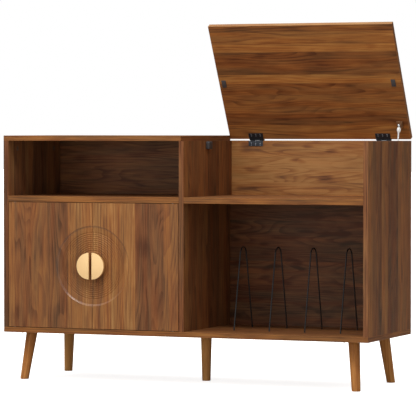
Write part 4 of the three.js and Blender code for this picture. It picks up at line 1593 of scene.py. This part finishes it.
rod_profile = [(0, rod_start), (1.7, rod_start), (ROD_RADIUS, rod_start + 0.5)]
rod_profile += [(ROD_RADIUS, reach - 22), (0, reach - 22)]
rod = on_strut(rod_profile)
smooth_piece("strut_white_rod", rod, enamel, "strut_rod_body", ["strut_rod"])

oval = [(0, reach - 25), (STEM_RADIUS - 0.5, reach - 25), (STEM_RADIUS, reach - 24.4)]
for i in range(OVAL_STEPS + 1):
    along = -OVAL_HALF + 2 * OVAL_HALF * i / OVAL_STEPS
    swell = OVAL_RADIUS * math.sqrt(max(0.0, 1 - (along / (OVAL_HALF + 0.4)) ** 2))
    oval.append((max(STEM_RADIUS + 0.2, swell), reach - OVAL_MIDDLE + along))
oval += [(3.2, reach - 4), (0, reach - 4)]
smooth_piece("strut_oval_end", on_strut(oval), enamel, "strut_rod_body", ["strut_rod_end"])
smooth_piece("strut_eye_ring", strut_eye(reach), zinc, "strut_rod_body")
print("strut profile points:", len(neck + groove + lip), len(rod_profile), len(oval))

# %% [markdown]
# ## Wire record dividers
#
# Each divider is one rod of black coated wire: two ends in the bottom board, two leaning legs and a
# round bend on top. A Geometry Nodes tree bends it as a wire bender does. It takes the corners of the
# route, rounds each with the bend's own radius, and sweeps a circle along it.

# %% The tree that bends a wire
WIRE_BEND_STEPS = 16


def bent_wire_tree():
    """A tree that rounds the corners of a wire's route and sweeps a circle along it."""
    inputs = {"Route": "Geometry", "Radius": "Float", "Sides": "Int", "Finish": "Material"}
    tree, given = new_group("bent wire", "GeometryNodeTree", inputs, {"Geometry": "Geometry"})
    route = add(tree, "GeometryNodeMeshToCurve", {}, {"Mesh": given["Route"]}).outputs[0]
    bend = add(tree, "GeometryNodeInputNamedAttribute", {"data_type": "FLOAT"}, {"Name": "bend"}).outputs[0]
    rounded = add(
        tree,
        "GeometryNodeFilletCurve",
        {"mode": "POLY"},
        {"Curve": route, "Count": WIRE_BEND_STEPS, "Radius": bend},
    ).outputs[0]
    section = add(
        tree,
        "GeometryNodeCurvePrimitiveCircle",
        {},
        {"Resolution": given["Sides"], "Radius": given["Radius"]},
    ).outputs[0]
    tube = add(
        tree, "GeometryNodeCurveToMesh", {}, {"Curve": rounded, "Profile Curve": section, "Fill Caps": True}
    ).outputs[0]
    real = add(tree, "GeometryNodeRealizeInstances", {}, {"Geometry": tube}).outputs[0]
    painted = add(
        tree, "GeometryNodeSetMaterial", {}, {"Geometry": real, "Material": given["Finish"]}
    ).outputs[0]
    add(tree, "NodeGroupOutput", {}, {0: painted})
    return tree


wire_group = bent_wire_tree()
print("nodes that bend a wire:", len(wire_group.nodes))

# %% Bend the wires
WIRE_RADIUS = 2.5 * MM
# The wire is drawn a little thinner than its solid, as thin as the photograph shows it
WIRE_LOOK = 2.1 * MM
WIRE_SIDES = 20
TOP_BEND = 25 * MM
FOOT_BEND = 8 * MM
WIRE_IN_BOARD = 9 * MM
FOOT_STRAIGHT = 4 * MM

foot_z = board_top + FOOT_STRAIGHT
end_z = board_top - WIRE_IN_BOARD
for node in [name for name in frame["nodes"] if name.startswith("record_divider_")]:
    low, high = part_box(node)
    x = (low.x + high.x) / 2
    half = (high.y - low.y) / 2 - WIRE_RADIUS
    bend_z = high.z - WIRE_RADIUS - TOP_BEND
    # The leg touches the top bend, so its lean comes from the line to the bend's middle and its radius
    lean = math.atan2(bend_z - foot_z, half) + math.asin(TOP_BEND / math.hypot(half, bend_z - foot_z))
    apex_z = foot_z + half * math.tan(lean)
    corners = [(x, -half, end_z), (x, -half, foot_z), (x, 0, apex_z), (x, half, foot_z), (x, half, end_z)]
    route = bpy.data.meshes.new(node + " route")
    route.from_pydata(corners, [(i, i + 1) for i in range(4)], [])
    bend = route.attributes.new("bend", "FLOAT", "POINT")
    for i, radius in enumerate((0, FOOT_BEND, TOP_BEND, FOOT_BEND, 0)):
        bend.data[i].value = radius
    wire_inputs = {"Radius": WIRE_LOOK, "Sides": WIRE_SIDES, "Finish": black_wire}
    wire = grown(node + "_wire", route, wire_group, wire_inputs)
    new_piece(node + "_wire", wire, "carcass", [node])
print("wire top at z", round(high.z / MM, 1), "mm, faces:", len(wire.polygons))

# %% [markdown]
# ## Leg plates
#
# A pressed steel plate with round corners holds each leg. It is screwed up into the bottom board with
# four screws, whose heads show from below.

# %% Make the leg plates
PLATE_CORNER = 8 * MM
PLATE_EDGE = 0.5 * MM
CORNER_STEPS = 8
PLATE_SCREW = 4 * MM
PLATE_SCREW_INSET = 8.5 * MM
PLATE_THICKNESS = 2.5 * MM

plate_screw_rows = []
for node in [name for name in frame["nodes"] if name.startswith("leg_plate_")]:
    low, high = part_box(node)
    middle = (low + high) / 2
    half = (high.x - low.x) / 2
    low_z = high.z - PLATE_THICKNESS
    outline = []
    for quarter, (side_x, side_y) in enumerate(((1, 1), (-1, 1), (-1, -1), (1, -1))):
        for step in range(CORNER_STEPS + 1):
            turn = math.pi / 2 * (quarter + step / CORNER_STEPS)
            x = middle.x + side_x * (half - PLATE_CORNER) + PLATE_CORNER * math.cos(turn)
            y = middle.y + side_y * (half - PLATE_CORNER) + PLATE_CORNER * math.sin(turn)
            outline.append(Vector((x, y, low_z)))
    plate = prism(outline, Vector((0, 0, PLATE_THICKNESS)))
    break_edges(plate, PLATE_EDGE)
    smooth_piece(node + "_pressed", plate, black_coat, "carcass", [node])
    for dx in (-1, 1):
        for dy in (-1, 1):
            offset = Vector((dx, dy, 0)) * (half - PLATE_SCREW_INSET)
            place = Vector((middle.x, middle.y, low_z)) + offset
            plate_screw_rows.append((place, Vector((0, 0, 1)), PLATE_SCREW))
copied_piece("leg_plate_screws", plain_screw, plate_screw_rows, zinc, 11, "carcass")
print("leg plate screws:", len(plate_screw_rows))

# %% [markdown]
# ## Brackets, catch, bumpers and other small pieces
#
# These solids already have their true outline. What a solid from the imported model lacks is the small
# radius that every moulded or stamped piece has, which catches a thin line of light. So each is copied,
# welded and its edges are broken by a radius that suits it.

# %% Break the edges of the small pieces
body_of = {node: body for body, nodes in frame["record"]["behaviour"]["bodies"].items() for node in nodes}
# Part of the name, radius, segments, finish
SMALL_EDGES = (
    ("lid_bumper", 3.0 * MM, 4, dark_plastic),
    ("lid_pad", 0.7 * MM, 2, dark_plastic),
    ("door_catch", 1.2 * MM, 3, dark_plastic),
    ("door_strike", 0.25 * MM, 2, zinc),
    ("door_pin", 0.3 * MM, 1, zinc),
    ("door_bush", 0.2 * MM, 1, dark_plastic),
    ("lid_hinge_pin", 0.2 * MM, 1, zinc),
    ("foot_bracket", 0.5 * MM, 2, zinc),
    ("lid_bracket", 0.5 * MM, 2, bronze_steel),
)
for node in frame["nodes"]:
    for part, radius, segments, finish in SMALL_EDGES:
        if part in node:
            shape = welded_copy(node)
            break_edges(shape, radius, segments)
            smooth_piece(node + "_rounded", shape, finish, body_of[node], [node])

# %% [markdown]
# ## The last screws and the cam caps
#
# The pulls are held by screws from inside the doors, the foot bracket by two screws. Cam locks join the
# boards, and flat brown caps cover them on the inner faces of the sides and on the divider.

# %% Screws of the pulls and of the foot bracket
PULL_SCREW_HEAD = 4 * MM
# What the head takes of a screw's length and a hair more, in radii of the head
HEAD_SHARE = 0.6
BRACKET_SCREW = 3 * MM
BRACKET_SCREW_IN = 2 * MM
BRACKET_SCREW_RISE = 14 * MM

for word, _ in SIDES:
    nodes = [f"{word}_pull_screw_lower", f"{word}_pull_screw_upper"]
    rows = []
    for node in nodes:
        low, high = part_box(node)
        middle = (low + high) / 2
        place = Vector((middle.x, high.y - HEAD_HEIGHT * PULL_SCREW_HEAD, middle.z))
        rows.append((place, Vector((0, -1, 0)), PULL_SCREW_HEAD))
    long_screw = screw_head((high.y - low.y) / PULL_SCREW_HEAD - HEAD_SHARE)
    copied_piece(word + "_pull_screws", long_screw, rows, zinc, 17, word + "_door_body", nodes)

low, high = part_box("strut_foot_bracket")
foot_rows = []
for dz in (-BRACKET_SCREW_RISE, BRACKET_SCREW_RISE):
    place = Vector((high.x - BRACKET_SCREW_IN, (low.y + high.y) / 2, (low.z + high.z) / 2 + dz))
    foot_rows.append((place, Vector((1, 0, 0)), BRACKET_SCREW))
copied_piece("foot_bracket_screws", plain_screw, foot_rows, zinc, 19, "carcass")
print("faces of a long screw:", len(long_screw.polygons))

# %% Cam caps
CAP_RADIUS = 8 * MM
CAP_FROM_EDGE = 25 * MM
CAP_YS = (-0.134, 0.127)

cap_rows = []
top_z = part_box("top_panel")[0].z - CAP_FROM_EDGE
low_z = board_top + CAP_FROM_EDGE
for x, inward, heights in (
    (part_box("left_side_panel")[1].x, -1, (top_z, low_z)),
    (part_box("centre_divider")[0].x, 1, (top_z, low_z)),
    (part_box("right_side_panel")[0].x, 1, (low_z,)),
):
    for y in CAP_YS:
        for z in heights:
            cap_rows.append((Vector((x, y, z)), Vector((inward, 0, 0)), CAP_RADIUS))
copied_piece("cam_caps", cap_head(), cap_rows, brown_cap, 23, "carcass")
print("cam caps:", len(cap_rows))
